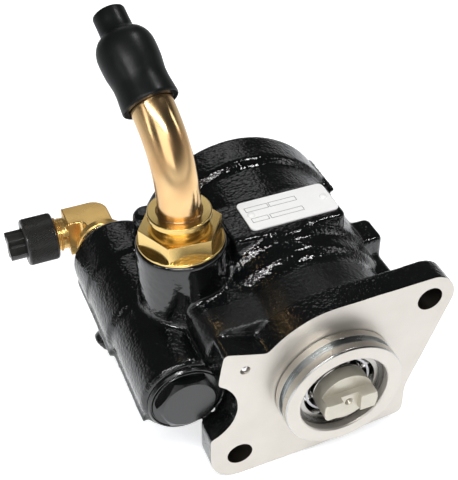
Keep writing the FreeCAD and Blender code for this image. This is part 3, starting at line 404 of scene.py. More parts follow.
def paintMaterial():
    # Wet looking paint over sand cast skin, smooth where the boss is turned
    material = grainMaterial("castPaint", paintFinish)
    tree = material.node_tree
    made = Nodes(tree)
    where = made.add("ShaderNodeTexCoord")
    parts = made.add("ShaderNodeSeparateXYZ")
    made.join(where.outputs["Object"], parts.inputs[0])
    boss = bossZone
    dx = made.number("ADD", parts.outputs[0], -boss["x"] * mm)
    dy = made.number("ADD", parts.outputs[1], -boss["y"] * mm)
    squares = made.number("ADD", made.number("MULTIPLY", dx, dx), made.number("MULTIPLY", dy, dy))
    away = made.number("SQRT", squares)
    near = made.spread(away, boss["radius"] * mm, (boss["radius"] + 1) * mm, 1.0, 0.0)
    high = made.spread(parts.outputs[2], boss["low"] * mm, (boss["low"] + 4) * mm)
    zone = made.number("MULTIPLY", near, high)
    bump = next(n for n in tree.nodes if n.type == "BUMP")
    rise = paintFinish["bump"]
    made.join(made.spread(zone, 0, 1, rise, rise * boss["smoother"]), bump.inputs["Strength"])
    # Drier paint on the top of the neck
    d = dryZone
    along = made.number("MULTIPLY", made.spread(parts.outputs[1], (d["front"] - 3) * mm, d["front"] * mm),
                        made.spread(parts.outputs[1], d["rear"] * mm, (d["rear"] + 3) * mm, 1.0, 0.0))
    dry = made.number("MULTIPLY", along, made.spread(parts.outputs[2], (d["low"] - 4) * mm, d["low"] * mm))
    shader = next(n for n in tree.nodes if n.type == "BSDF_PRINCIPLED")
    rough = shader.inputs["Roughness"].links[0].from_socket
    rougher = made.number("MULTIPLY", dry, d["rougher"])
    made.join(made.number("ADD", rough, rougher), shader.inputs["Roughness"])
    return material


castPaint = paintMaterial()
plugPaint = grainMaterial("plugPaint", {**paintFinish, "bump": 0.06, "rough": 0.2, "roughSpread": 0.03})
capRubber = grainMaterial("capRubber", rubberFinish)
sealRubber = grainMaterial("sealRubber", {**rubberFinish, "rough": 0.6})
capPlastic = grainMaterial("capPlastic", plasticFinish)
machinedFace = metalMaterial("machinedFace", faceFinish)
# Seal groove: shinier turned steel, its colour darker than the lands as painted shade in the groove
grooveWithPaintedShade = metalMaterial("grooveWithPaintedShade", {**faceFinish, "base": (0.42, 0.435, 0.43),
                                              "other": (0.5, 0.51, 0.5), "rough": 0.26, "metal": 1.0})
turnedLand = metalMaterial("turnedLand", {**faceFinish, "rough": 0.32, "metal": 1.0})
# Near-black colour on the walls of the bolt holes
darkBoltHoleWalls = metalMaterial("darkBoltHoleWalls", {**faceFinish, "base": (0.035, 0.03, 0.024),
                                              "other": (0.06, 0.05, 0.04)})
yellowZinc = metalMaterial("yellowZinc", goldFinish)
tubeZinc = metalMaterial("tubeZinc", tubeFinish)
elbowZinc = metalMaterial("elbowZinc", elbowFinish)
plateWhite = grainMaterial("plateWhite", {**plasticFinish, "base": (0.9, 0.9, 0.89),
                                          "other": (0.85, 0.85, 0.84), "rough": 0.35, "bump": 0.03,
                                          "specular": 0.4})
plateInk = grainMaterial("plateInk", {**plasticFinish, "base": (0.03, 0.03, 0.03), "bump": 0.03})
paleZinc = metalMaterial("paleZinc", {**goldFinish, "base": (0.75, 0.62, 0.42), "other": (0.82, 0.7, 0.5)})
bearingSteel = metalMaterial("bearingSteel", bearingFinish)
ballSteel = metalMaterial("ballSteel", ballFinish)
shaftSteel = metalMaterial("shaftSteel", shaftFinish)
darkSteel = metalMaterial("darkSteel", darkFinish)
groundSteel = metalMaterial("groundSteel", groundFinish)
bronze = metalMaterial("bronze", {**groundFinish, "base": (0.5, 0.34, 0.17), "other": (0.42, 0.28, 0.13)})
print("materials ready")

nodeFinish = {
    "pump_housing": castPaint, "gallery_ball_plug": ballSteel, "bearing_outer_ring": bearingSteel,
    "bearing_inner_ring": bearingSteel, "bearing_balls": ballSteel, "bearing_cage": darkSteel,
    "bearing_retaining_ring": darkSteel, "drive_shaft": shaftSteel, "shaft_circlip": darkSteel,
    "shaft_seal": sealRubber, "plate_spring": darkSteel, "front_pressure_plate": groundSteel,
    "plate_seal": sealRubber, "cam_ring": groundSteel, "rotor": groundSteel, "vanes": ballSteel,
    "dowel_pins": ballSteel, "rear_side_plate": groundSteel, "rear_cover": darkSteel,
    "cover_seal": sealRubber, "cover_retaining_ring": darkSteel, "rear_shaft_bush": bronze,
    "valve_plug": plugPaint, "valve_plug_seal": sealRubber, "flow_spring": darkSteel,
    "flow_spool": groundSteel, "relief_ball": ballSteel, "relief_spring": darkSteel,
    "nameplate": machinedFace, "nameplate_rivets": machinedFace, "suction_union_nut": yellowZinc,
    "suction_union_seal": sealRubber, "suction_tube": yellowZinc, "suction_cap": capRubber,
    "pressure_elbow": yellowZinc, "elbow_seal_washer": paleZinc, "pressure_cap": capPlastic,
    "pressure_cap_plug": capPlastic}
for name, material in nodeFinish.items():
    nodes[name].data.materials.clear()
    nodes[name].data.materials.append(material)


# The casting, in millimetres: its rough skin, and what is drilled and bored in it
castSkin = {"voxel": 1.05, "smoothing": 7, "stock": 3.0, "lumps": 0.22, "lumpSize": 13.0,
            "pebbles": 0.09, "pebbleSize": 2.4}
holes = {"boltX": 50.0, "boltZ": 35.0, "boltRadius": 6.75, "boltDepth": 30.0, "ballX": -47.2, "ballY": 2.9,
         "ballZ": 24.7, "ballRadius": 2.5, "ballDepth": 12.0, "ahead": -20.0}
bores = {"bearing": 23.51, "flangeBack": 14.5, "bearingRear": 7.5, "shoulder": 15.35, "sealFront": 9.4,
         "sealRadius": 17.51, "sealRear": 17.0, "tunnel": 12.5, "chamberFront": 62.0, "chamber": 44.0,
         "rear": 136.0, "barrelX": -72.0, "barrelZ": 1.5, "valve": 10.0, "valveEnd": 110.0, "plugEnd": 29.5,
         "plug": 15.0, "barrelFront": 15.5}
core = {"neck": 33.0, "neckEnd": 60.0, "chamberFrom": 50.0, "barrelEnd": 125.0, "ballEnd": 13.0, "over": 1.0,
        "chamberOver": 3.0}


def rod(name, radius, start, end, centre=(0, 0, 0), axis=(0, 1, 0), steps=96):
    return lathe(name, [(start, 0), (start, radius), (end, radius), (end, 0)], centre, axis, steps)


def joinAll(pieces, name):
    work = bmesh.new()
    for piece in pieces:
        work.from_mesh(piece.data)
    for piece in pieces:
        bpy.data.objects.remove(piece)
    return meshFrom(work, name)


def flangeStock(depth):
    # The front face of the flange carried forward, so that rounding doesn't reach it before it is faced off
    work = bmesh.new()
    work.from_mesh(nodes["pump_housing"].data)
    bmesh.ops.remove_doubles(work, verts=work.verts, dist=weld)
    away = [f for f in work.faces if abs(f.normal.y) < 0.99 or any(abs(v.co.y) > 0.01 * mm for v in f.verts)]
    bmesh.ops.delete(work, geom=away, context="FACES")
    made = bmesh.ops.extrude_face_region(work, geom=list(work.faces), use_keep_orig=True)
    for item in made["geom"]:
        if isinstance(item, bmesh.types.BMVert):
            item.co.y -= depth * mm
    bmesh.ops.recalc_face_normals(work, faces=work.faces)
    return meshFrom(work, "flangeStock")


def castBlank():
    # The housing before it is machined, with every hole filled up
    h, b, c = holes, bores, core
    front = -castSkin["stock"]
    fillers = [mergedCopy("pump_housing", "blankBody"), flangeStock(castSkin["stock"])]
    for side in (1, -1):
        place = (side * h["boltX"], 0, side * h["boltZ"])
        fillers.append(rod("fill", h["boltRadius"] + c["over"], front, b["flangeBack"], place))
    place = (h["ballX"], 0, h["ballZ"])
    fillers.append(rod("fill", h["ballRadius"] + c["over"], front, c["ballEnd"], place))
    fillers.append(rod("fill", c["neck"], front, c["neckEnd"]))
    fillers.append(rod("fill", b["chamber"] + c["chamberOver"], c["chamberFrom"], b["rear"]))
    place = (b["barrelX"], 0, b["barrelZ"])
    fillers.append(rod("fill", b["plug"] + c["over"], b["barrelFront"], c["barrelEnd"], place))
    return joinAll(fillers, "castBody")


def machining():
    # Everything that is cut out of the rough casting
    h, b = holes, bores
    before = h["ahead"]
    cuts = []
    for side in (1, -1):
        place = (side * h["boltX"], 0, side * h["boltZ"])
        cuts.append(rod("cut", h["boltRadius"], before, h["boltDepth"], place))
    place = (h["ballX"], 0, h["ballZ"])
    cuts.append(rod("cut", h["ballRadius"] + 0.05, before, h["ballDepth"], place, steps=48))
    shaftBore = [(before, 0), (before, b["bearing"]), (b["bearingRear"], b["bearing"]),
                 (b["bearingRear"], b["shoulder"]), (b["sealFront"], b["shoulder"]),
                 (b["sealFront"], b["sealRadius"]), (b["sealRear"], b["sealRadius"]),
                 (b["sealRear"], b["tunnel"]), (b["chamberFront"], b["tunnel"]),
                 (b["chamberFront"], b["chamber"]), (b["rear"] + 20, b["chamber"]), (b["rear"] + 20, 0)]
    cuts.append(lathe("cut", shaftBore, (0, 0, 0), (0, 1, 0), 160))
    start = b["barrelFront"] - 6
    valveBore = [(start, 0), (start, b["plug"]), (b["plugEnd"], b["plug"]), (b["plugEnd"] + 2, b["valve"]),
                 (b["valveEnd"], b["valve"]), (b["valveEnd"], 0)]
    cuts.append(lathe("cut", valveBore, (b["barrelX"], 0, b["barrelZ"]), (0, 1, 0), 96))
    return cuts


def cutWith(body, cutter, operation, **settings):
    cut = body.modifiers.new("cut", "BOOLEAN")
    cut.operation = operation
    cut.solver = "EXACT"
    cut.object = cutter
    for key, value in settings.items():
        setattr(cut, key, value)
    finished(body, body.name)
    bpy.data.objects.remove(cutter)


def asHousing(piece):
    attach(piece, "housing")
    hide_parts("pump_housing")


def castBody():
    body = castBlank()
    shell = body.modifiers.new("shell", "REMESH")
    shell.mode = "VOXEL"
    shell.voxel_size = castSkin["voxel"] * mm
    ease = body.modifiers.new("ease", "SMOOTH")
    ease.factor = 0.5
    ease.iterations = castSkin["smoothing"]
    finished(body, "castBody")
    mesh = body.data
    skin = castSkin
    lump, pebble = 1 / (skin["lumpSize"] * mm), 1 / (skin["pebbleSize"] * mm)
    corners = [Vector(corner) for corner in nodes["pump_housing"].bound_box]
    low = Vector([min(c[k] for c in corners) for k in range(3)])
    high = Vector([max(c[k] for c in corners) for k in range(3)])
    moved = []
    for vertex in mesh.vertices:
        here = vertex.co
        rise = skin["lumps"] * noise.noise(here * lump) + skin["pebbles"] * noise.noise(here * pebble)
        place = here + vertex.normal * rise * mm
        # The rough skin stays inside the housing's own box; the front is faced off later
        moved.extend((min(max(place.x, low.x), high.x), min(place.y, high.y),
                      min(max(place.z, low.z), high.z)))
    mesh.vertices.foreach_set("co", moved)
    mesh.update()
    mesh.materials.clear()
    mesh.materials.append(castPaint)
    print("cast skin:", len(mesh.polygons), "faces")
    work = bmesh.new()
    milled = Matrix.Translation((0, -0.02, 0)) @ Matrix.Diagonal((0.3, 0.04, 0.3, 1))
    bmesh.ops.create_cube(work, size=1.0, matrix=milled)
    for n, cutter in enumerate([meshFrom(work, "faceOff")] + machining()):
        # The two bolt hole cutters leave near-black walls, the others bare machined metal
        cutter.data.materials.append(darkBoltHoleWalls if n in (1, 2) else machinedFace)
        cutWith(body, cutter, "DIFFERENCE", material_mode="TRANSFER")
    smoothByAngle(body, 38)
    asHousing(body)
    print("casting:", len(body.data.polygons), "faces")


castBody()

# The turned pilot with its seal groove, the bearing's bore and the groove of the retaining ring
pilotShape = {"radius": 31.5, "length": 12.8, "grooveFront": -8.4, "grooveRear": -4.4, "grooveDeep": 2.2,
              "bore": 23.51, "clipFront": -8.26, "clipRear": -6.5, "clipDeep": 1.4, "edge": 0.7,
              "stepFront": -0.6, "rear": 0.8, "corner": 0.2}


def pilotRing():
    p = pilotShape
    outer, bore, floor = p["radius"], p["bore"], p["radius"] - p["grooveDeep"]
    clip, edge, front, rear = bore + p["clipDeep"], p["edge"], -p["length"], p["rear"]
    profile = [(rear, bore), (p["clipRear"], bore), (p["clipRear"], clip), (p["clipFront"], clip),
               (p["clipFront"], bore), (front + edge, bore), (front, bore + edge), (front, outer - edge),
               (front + edge, outer), (p["grooveFront"], outer), (p["grooveFront"], floor),
               (p["grooveRear"], floor), (p["grooveRear"], outer), (p["stepFront"], outer),
               (p["stepFront"], outer - rear), (rear, outer - rear)]
    ring = lathe("pilotRing", rounded(profile, p["corner"], 3), (0, 0, 0), (0, 1, 0), 192)
    for material in (machinedFace, grooveWithPaintedShade, turnedLand):
        ring.data.materials.append(material)
    # Groove faces take the darker steel that carries the groove's painted shade; the lands take the turned
    # finish
    for face in ring.data.polygons:
        out = math.hypot(face.center.x, face.center.z)
        if out / mm > floor - 0.1 and face.center.y / mm > front + 0.3:
            face.material_index = 2 if out / mm > outer - 0.05 else 1
    crispShade(ring, 40)
    asHousing(ring)


pilotRing()
print("pilot ready")

# Fins where the halves of the mould met
fins = {
    "barrelFin": {"x": -72.0, "z": 1.5, "angle": 205.0, "from": 19.0, "to": 64.0, "foot": 20.5, "top": 24.3},
    "collarFin": {"x": 0.0, "z": 0.0, "angle": 30.0, "from": 104.0, "to": 134.5, "foot": 54.0, "top": 58.8}}
finShape = {"half": 0.9, "tip": 0.42, "ragged": 0.55, "slow": 0.35, "quick": 1.3, "end": 0.9, "steps": 56}


def raggedFin(name):
    # Thin wedge along Y with an uneven crest
    f, s = fins[name], finShape
    angle, foot, half, count = f["angle"], f["foot"], s["half"], s["steps"]
    work = bmesh.new()
    axis = Matrix.Translation(Vector((f["x"], 0, f["z"])) * mm)
    turn = axis @ Matrix.Rotation(math.radians(-angle), 4, "Y")
    rings = []
    for k in range(count + 1):
        y = f["from"] + (f["to"] - f["from"]) * k / count
        slow, quick = Vector((y * s["slow"], angle, 0)), Vector((y * s["quick"], angle, 5))
        rough = noise.noise(slow) + 0.5 * noise.noise(quick)
        crest = f["top"] - s["ragged"] * (0.5 + rough) - (s["end"] if k in (0, count) else 0)
        tip = half * s["tip"]
        outline = [(foot, -half), (crest - 0.3, -tip), (crest, 0), (crest - 0.3, tip), (foot, half)]
        rings.append([work.verts.new(turn @ Vector((r * mm, y * mm, z * mm))) for r, z in outline])
    for a, b in zip(rings, rings[1:]):
        for n in range(5):
            work.faces.new([a[n], a[(n + 1) % 5], b[(n + 1) % 5], b[n]])
    work.faces.new(rings[0])
    work.faces.new(rings[-1])
    bmesh.ops.recalc_face_normals(work, faces=work.faces)
    fin = meshFrom(work, name)
    smoothByAngle(fin, 50)
    fin.data.materials.append(castPaint)
    asHousing(fin)


for finName in fins:
    raggedFin(finName)
print("parting fins ready")

crispCopy("bearing_outer_ring", "outerRing", bearingSteel)
crispCopy("bearing_inner_ring", "innerRing", bearingSteel)
crispCopy("bearing_cage", "ballCage", groundSteel)
crispCopy("bearing_retaining_ring", "frontClip", darkSteel, 0.12)
crispCopy("drive_shaft", "driveShaft", shaftSteel, 0.15)
crispCopy("rear_cover", "rearCover", darkSteel, 0.3)
crispCopy("cover_retaining_ring", "rearClip", darkSteel, 0.15)
crispCopy("suction_union_nut", "unionNut", yellowZinc, 0.22)
crispCopy("elbow_seal_washer", "elbowWasher", paleZinc, 0.1)
crispCopy("pressure_cap_plug", "capPlug", capPlastic, 0.55)
crispCopy("suction_tube", "suctionTube", tubeZinc)
print("steel pieces ready")

# Hexagon plug: its head turned down to a round face, its flange to two collars
plugTurning = {"x": -72.0, "z": 1.5, "front": 9.3, "face": 12.9, "corner": 16.7, "slope": 30.0,
               "flange": 13.3, "collars": (17.3, 18.9), "groove": 17.8, "deep": 0.9, "rim": 19.8,
               "edge": 0.22}


def hexPlug():
    t = plugTurning
    cone = t["front"] + (t["corner"] - t["face"]) * math.tan(math.radians(t["slope"]))
    flange, floor = t["flange"], t["flange"] + t["deep"]
    inner, outer = t["collars"]
    outline = [(t["front"], 0), (t["front"], t["face"]), (cone, t["corner"]), (flange, t["corner"]),
               (flange, inner), (floor, t["groove"] - 0.1), (floor, t["groove"] + 0.2),
               (flange + 0.15, outer - 0.5), (flange + 0.15, outer), (floor + 0.5, t["rim"]),
               (floor + 0.5, 40), (60, 40), (60, 0)]
    head = mergedCopy("valve_plug", "hexPlug")
    cutWith(head, lathe("turning", outline, (t["x"], 0, t["z"]), (0, 1, 0), 144), "INTERSECT")
    bevelEdges(head, t["edge"], 24)
    crispShade(head, 30)
    dress(head, "valve_plug", plugPaint)


hexPlug()
print("hexagon plug ready")


class Tree(Nodes):
    # A Geometry Nodes tree with named inputs
    def __init__(self, name, inputs, material):
        tree = bpy.data.node_groups.new(name, "GeometryNodeTree")
        super().__init__(tree)
        self.sockets = {}
        tree.interface.new_socket(name="Geometry", in_out="INPUT", socket_type="NodeSocketGeometry")
        for label, value in inputs.items():
            kind = "NodeSocketInt" if isinstance(value, int) else "NodeSocketFloat"
            socket = tree.interface.new_socket(name=label, in_out="INPUT", socket_type=kind)
            self.sockets[label] = (socket.identifier, value)
        socket = tree.interface.new_socket(name="Material", in_out="INPUT", socket_type="NodeSocketMaterial")
        self.sockets["Material"] = (socket.identifier, material)
        tree.interface.new_socket(name="Geometry", in_out="OUTPUT", socket_type="NodeSocketGeometry")
        self.source = self.add("NodeGroupInput")
        self.sink = self.add("NodeGroupOutput")

    def value(self, label):
        return self.source.outputs[label]

    def vector(self, x, y, z):
        node = self.add("ShaderNodeCombineXYZ")
        self.feed(node.inputs, (x, y, z))
        return node.outputs[0]

    def close(self, geometry):
        # Realize the copies, give them their material and end the tree
        real = self.add("GeometryNodeRealizeInstances")
        dressed = self.add("GeometryNodeSetMaterial")
        self.join(geometry, real.inputs[0])
        self.join(real.outputs[0], dressed.inputs["Geometry"])
        self.join(self.value("Material"), dressed.inputs["Material"])
        self.join(dressed.outputs[0], self.sink.inputs[0])

    def apply(self, piece, name):
        modifier = piece.modifiers.new(name, "NODES")
        modifier.node_group = self.tree
        for identifier, value in self.sockets.values():
            modifier[identifier] = value
        return finished(piece, name)


ballRow = {"count": 8, "pitch": 16.75, "radius": 3.969, "along": 0.5, "turn": 20.0}


def bearingBalls():
    b = ballRow
    inputs = {"Count": b["count"], "Pitch Radius": b["pitch"] * mm, "Ball Radius": b["radius"] * mm}
    tree = Tree("ballsOnCircle", inputs, ballSteel)
    circle = tree.add("GeometryNodeMeshCircle")
    tree.join(tree.value("Count"), circle.inputs["Vertices"])
    tree.join(tree.value("Pitch Radius"), circle.inputs["Radius"])
    ball = tree.add("GeometryNodeMeshUVSphere")
    ball.inputs["Segments"].default_value = 40
    ball.inputs["Rings"].default_value = 24
    tree.join(tree.value("Ball Radius"), ball.inputs["Radius"])
    copies = tree.add("GeometryNodeInstanceOnPoints")
    tree.join(circle.outputs[0], copies.inputs["Points"])
    tree.join(ball.outputs[0], copies.inputs["Instance"])
    tree.close(copies.outputs[0])
    piece = tree.apply(addObject("bearingBalls", bpy.data.meshes.new("bearingBalls")), "bearingBalls")
    place = Matrix.Translation((0, b["along"] * mm, 0)) @ Matrix.Rotation(math.radians(-b["turn"]), 4, "Y")
    piece.data.transform(place @ Matrix.Rotation(math.radians(90), 4, "X"))
    smoothByAngle(piece, 60)
    return dress(piece, "bearing_balls", ballSteel)


bearingBalls()


def galleryBall():
    # The ball pressed into the drilled gallery of the flange
    work = bmesh.new()
    place = Matrix.Translation(Vector((holes["ballX"], holes["ballY"], holes["ballZ"])) * mm)
    radius = (holes["ballRadius"] - 0.01) * mm
    bmesh.ops.create_uvsphere(work, u_segments=40, v_segments=24, radius=radius, matrix=place)
    ball = meshFrom(work, "galleryBall")
    smoothByAngle(ball, 60)
    dress(ball, "gallery_ball_plug", ballSteel)


galleryBall()
print("balls ready")

# Pressure elbow: its thread, and the knurled cap over it
outlet = {"y": 149.7, "z": 9.2, "blockX": -94.5, "threadEnd": -112.0, "crest": 9.95, "root": 8.9,
          "pitch": 2.0, "foot": 0.85, "flat": 0.2, "sunk": 0.25, "gap": 3.0, "runout": 1.2}
knurl = {"around": 72, "rows": 22, "radius": 12.95, "rise": 0.42, "front": -118.7, "rear": -101.3,
         "edge": 1.3, "mouth": 8.9, "bore": 10.04, "wall": 2.7, "overlap": 1.12}


def threadRidge(name, start, end, turns, steps):
    # Closed helical ridge about the outlet, fading into its root at both ends
    o = outlet
    work = bmesh.new()
    rings = []
    low = o["root"] - o["sunk"]
    total = turns * steps
    for k in range(total + 1):
        share = k / total
        x = start + (end - start) * share
        fade = min(1.0, share * turns * 2, (1 - share) * turns * 2)
        crest = o["root"] - 0.1 + (o["crest"] - o["root"] + 0.1) * fade
        a = 2 * math.pi * k / steps
        ring = []
        for dx, r in ((-o["foot"], low), (-o["flat"], crest), (o["flat"], crest), (o["foot"], low)):
            corner = Vector((x + dx, o["y"] + r * math.cos(a), o["z"] + r * math.sin(a)))
            ring.append(work.verts.new(corner * mm))
        rings.append(ring)
    for a, b in zip(rings, rings[1:]):
        for n in range(4):
            work.faces.new([a[n], a[(n + 1) % 4], b[(n + 1) % 4], b[n]])
    work.faces.new(rings[0])
    work.faces.new(rings[-1])
    bmesh.ops.recalc_face_normals(work, faces=work.faces)
    return meshFrom(work, name)


def pressureElbow():
    o = outlet
    elbow = mergedCopy("pressure_elbow", "pressureElbow")
    for vertex in elbow.data.vertices:
        across = Vector((vertex.co.y - o["y"] * mm, vertex.co.z - o["z"] * mm))
        if vertex.co.x < (o["blockX"] - 1.7) * mm and across.length > 8.5 * mm:
            across *= o["root"] * mm / across.length
            vertex.co.y, vertex.co.z = o["y"] * mm + across.x, o["z"] * mm + across.y
    joinFlats(elbow)
    smoothByAngle(elbow, 30)
    dress(elbow, "pressure_elbow", elbowZinc)
    start = o["blockX"] - o["gap"]
    turns = int((start - o["threadEnd"] - o["runout"]) / o["pitch"])
    ridge = threadRidge("outletThread", start, start - turns * o["pitch"], turns, 48)
    smoothByAngle(ridge, 50)
    dress(ridge, "pressure_elbow", elbowZinc)


pressureElbow()


def pressureCap():
    # Knurled sleeve: small pyramids in staggered rows on a turned ring
    k = knurl
    length = k["rear"] - k["front"]
    r = k["radius"]
    outline = [(0, k["mouth"]), (0, r - 0.5), (0.5, r + 0.15), (k["edge"] - 0.2, r + 0.15),
               (k["edge"], r - 0.05), (length - k["edge"], r - 0.05), (length - k["edge"] + 0.2, r + 0.15),
               (length - 0.5, r + 0.15), (length, r - 0.5), (length, k["bore"]), (k["wall"], k["bore"]),
               (k["wall"], k["mouth"])]
    ring = lathe("pressureCap", outline, (0, 0, 0), (0, 0, 1), 136)
    smoothByAngle(ring, 34)
    ring.data.materials.append(capPlastic)
    step = (length - 2 * k["edge"]) / k["rows"]
    inputs = {"Around": k["around"], "Rows": k["rows"], "Radius": r * mm,
              "Start": (k["edge"] + step / 2) * mm, "Step": step * mm, "Rise": k["rise"] * mm,
              "Size": step * mm * k["overlap"]}
    tree = Tree("knurledRows", inputs, capPlastic)
    line = tree.add("GeometryNodeMeshLine")
    tree.join(tree.number("MULTIPLY", tree.value("Around"), tree.value("Rows")), line.inputs["Count"])
    index = tree.add("GeometryNodeInputIndex").outputs[0]
    row = tree.number("FLOOR", tree.number("DIVIDE", index, tree.value("Around")))
    spot = tree.number("MODULO", index, tree.value("Around"))
    half = tree.number("MULTIPLY", tree.number("MODULO", row, 2.0), 0.5)
    turn = tree.number("DIVIDE", tree.number("ADD", spot, half), tree.value("Around"))
    angle = tree.number("MULTIPLY", turn, 2 * math.pi)
    out = tree.number("MULTIPLY", tree.number("COSINE", angle), tree.value("Radius"))
    side = tree.number("MULTIPLY", tree.number("SINE", angle), tree.value("Radius"))
    along = tree.number("ADD", tree.value("Start"), tree.number("MULTIPLY", row, tree.value("Step")))
    moved = tree.add("GeometryNodeSetPosition")
    tree.join(line.outputs[0], moved.inputs["Geometry"])
    tree.join(tree.vector(out, side, along), moved.inputs["Position"])
    pyramid = tree.add("GeometryNodeMeshCone")
    pyramid.inputs["Vertices"].default_value = 4
    pyramid.inputs["Radius Top"].default_value = 0.0
    tree.join(tree.value("Size"), pyramid.inputs["Radius Bottom"])
    tree.join(tree.value("Rise"), pyramid.inputs["Depth"])
    tipped = tree.add("GeometryNodeTransform")
    tree.join(pyramid.outputs["Mesh"], tipped.inputs["Geometry"])
    tipped.inputs["Rotation"].default_value = (0, math.radians(90), 0)
    copies = tree.add("GeometryNodeInstanceOnPoints")
    tree.join(moved.outputs[0], copies.inputs["Points"])
    tree.join(tipped.outputs[0], copies.inputs["Instance"])
    tree.join(tree.vector(0.0, 0.0, angle), copies.inputs["Rotation"])
    both = tree.add("GeometryNodeJoinGeometry")
    tree.join(tree.source.outputs["Geometry"], both.inputs[0])
    tree.join(copies.outputs[0], both.inputs[0])
    tree.close(both.outputs[0])
    tree.apply(ring, "pressureCap")
    place = Matrix.Translation(Vector((k["front"], outlet["y"], outlet["z"])) * mm)
    ring.data.transform(place @ Matrix.Rotation(math.radians(90), 4, "Y"))
    return dress(ring, "pressure_cap", capPlastic)


pressureCap()
print("elbow and its cap ready")

# Rubber cap on the suction tube
rubberCap = {"from": (-58.744, 82.992, 123.187), "along": (-0.12516, 0.79928, 0.58779), "bore": 10.54,
             "rim": 14.0, "waist": 13.2, "bulb": 14.4, "neck": 8.2, "end": 50.0, "inside": 28.0}


def suctionCap():
    c = rubberCap
    outline = [(0.6, c["bore"] + 0.8), (0.6, c["rim"] - 0.5), (1.0, c["rim"] - 0.1), (1.6, c["rim"]),
               (2.6, c["rim"] - 0.1), (5, c["rim"] - 0.3), (10, c["waist"]), (14, c["waist"]),
               (20, c["bulb"] - 0.3), (24, c["bulb"] - 0.05), (27, c["bulb"]), (30, c["bulb"] - 0.15),
               (32.6, c["bulb"] - 0.8), (34.6, c["bulb"] - 1.8), (36.4, c["bulb"] - 3.2),
               (37.7, c["neck"] + 1.3), (38.5, c["neck"] + 0.4), (39.4, c["neck"]), (44, c["neck"] - 0.15),
               (c["end"] - 1.3, c["neck"] - 0.15), (c["end"] - 0.5, c["neck"] - 0.5),
               (c["end"], c["neck"] - 1.3), (c["end"], 0), (c["inside"], 0), (c["inside"], c["bore"]),
               (1.4, c["bore"])]
    cap = lathe("suctionCap", outline, c["from"], c["along"], 112)
    smoothByAngle(cap, 40)
    return dress(cap, "suction_cap", capRubber)


suctionCap()
print("rubber cap ready")

# Nameplate, bare but for its empty boxes
label = {"left": -18.5, "front": 59.0, "top": 54.8, "ink": 0.24,
         "boxes": [(2.9, 12.0, 5.6, 9.0), (13.0, 31.2, 5.6, 9.0), (2.7, 15.3, 14.4, 18.0),
                   (15.9, 31.0, 14.4, 18.0)]}


def nameplatePieces():
    s, w = label, label["ink"]
    crispCopy("nameplate", "nameplate", plateWhite, 0.15)
    work = bmesh.new()
    for u0, u1, v0, v1 in s["boxes"]:
        sides = [(u0, u1, v0, v0 + w), (u0, u1, v1 - w, v1),
                 (u0, u0 + w, v0 + w, v1 - w), (u1 - w, u1, v0 + w, v1 - w)]
        for a0, a1, b0, b1 in sides:
            centre = Vector((s["left"] + (a0 + a1) / 2, s["front"] + (b0 + b1) / 2, s["top"])) * mm
            size = Vector((a1 - a0, b1 - b0, 0.04)) * mm
            place = Matrix.Translation(centre) @ Matrix.Diagonal((*size, 1))
            bmesh.ops.create_cube(work, size=1.0, matrix=place)
    dress(meshFrom(work, "plateBoxes"), "nameplate", plateInk)
    crispCopy("nameplate_rivets", "plateRivets", plateWhite, 0.0, 50)


nameplatePieces()
print("nameplate ready")

# The photograph's camera, with turns in degrees and its place in millimetres
photoView = {"azimuth": -21.628, "elevation": 39.894, "roll": -0.709, "place": (-170.42, -292.36, 368.96),
             "lens": 75.0}


def photoCamera():
    view = photoView
    azimuth, elevation = math.radians(view["azimuth"]), math.radians(view["elevation"])
    level = math.cos(elevation)
    ahead = Vector((-math.sin(azimuth) * level, math.cos(azimuth) * level, -math.sin(elevation)))
    lens = bpy.data.cameras.new("photoCamera")
    lens.lens = view["lens"]
    lens.sensor_width = 36.0
    lens.clip_start = 0.01
    lens.clip_end = 20.0
    camera = addObject("photoCamera", lens)
    camera.rotation_mode = "QUATERNION"
    camera.location = Vector(view["place"]) * mm
    roll = Quaternion((0, 0, 1), math.radians(view["roll"]))
    camera.rotation_quaternion = ahead.to_track_quat("-Z", "Y") @ roll
    bpy.context.scene.camera = camera


# Lamps: direction from the pump, and metres and watts
lamps = {
    "strip": {"from": (-0.3, -0.5, 0.82), "away": 0.62, "wide": 0.56, "deep": 0.013, "watts": 2.2},
    "soft": {"from": (-0.35, -0.75, 0.46), "away": 0.8, "wide": 0.56, "deep": 0.42, "watts": 1.3},
    "top": {"from": (0.42, 0.1, 0.9), "away": 0.75, "wide": 0.14, "deep": 0.05, "watts": 1.1},
    "left": {"from": (-0.9, -0.2, 0.4), "away": 0.9, "wide": 0.12, "deep": 0.4, "watts": 0.4},
    "right": {"from": (0.88, -0.15, 0.45), "away": 0.9, "wide": 0.12, "deep": 0.3, "watts": 0.3},
    "back": {"from": (0.15, 0.8, 0.56), "away": 0.9, "wide": 0.46, "deep": 0.2, "watts": 0.26},
}


def studioLamps():
    centre = (cadBox[0] + cadBox[1]) / 2
    for name, values in lamps.items():
        light = bpy.data.lights.new(name, "AREA")
        light.energy = values["watts"]
        light.shape = "RECTANGLE"
        light.size = values["wide"]
        light.size_y = values["deep"]
        lamp = addObject(name, light)
        direction = Vector(values["from"]).normalized()
        lamp.location = centre + direction * values["away"]
        lamp.rotation_mode = "QUATERNION"
        lamp.rotation_quaternion = direction.to_track_quat("Z", "Y")


# Backdrop: strengths seen in reflections, and the floor's fade with the distance from a centre in front
backdrop = {"front": 1.0, "behind": 0.45, "ceiling": 0.04, "dimAt": 0.28, "light": 0.36, "shine": 0.6,
            "near": 0.6, "far": 0.9, "farShare": 0.2, "whiteAt": 1.5, "centre": (0.1, -0.45),
            "floor": (0.9, 0.92, 0.95), "floorRough": 0.6, "floorSize": 3.0, "below": 0.3}


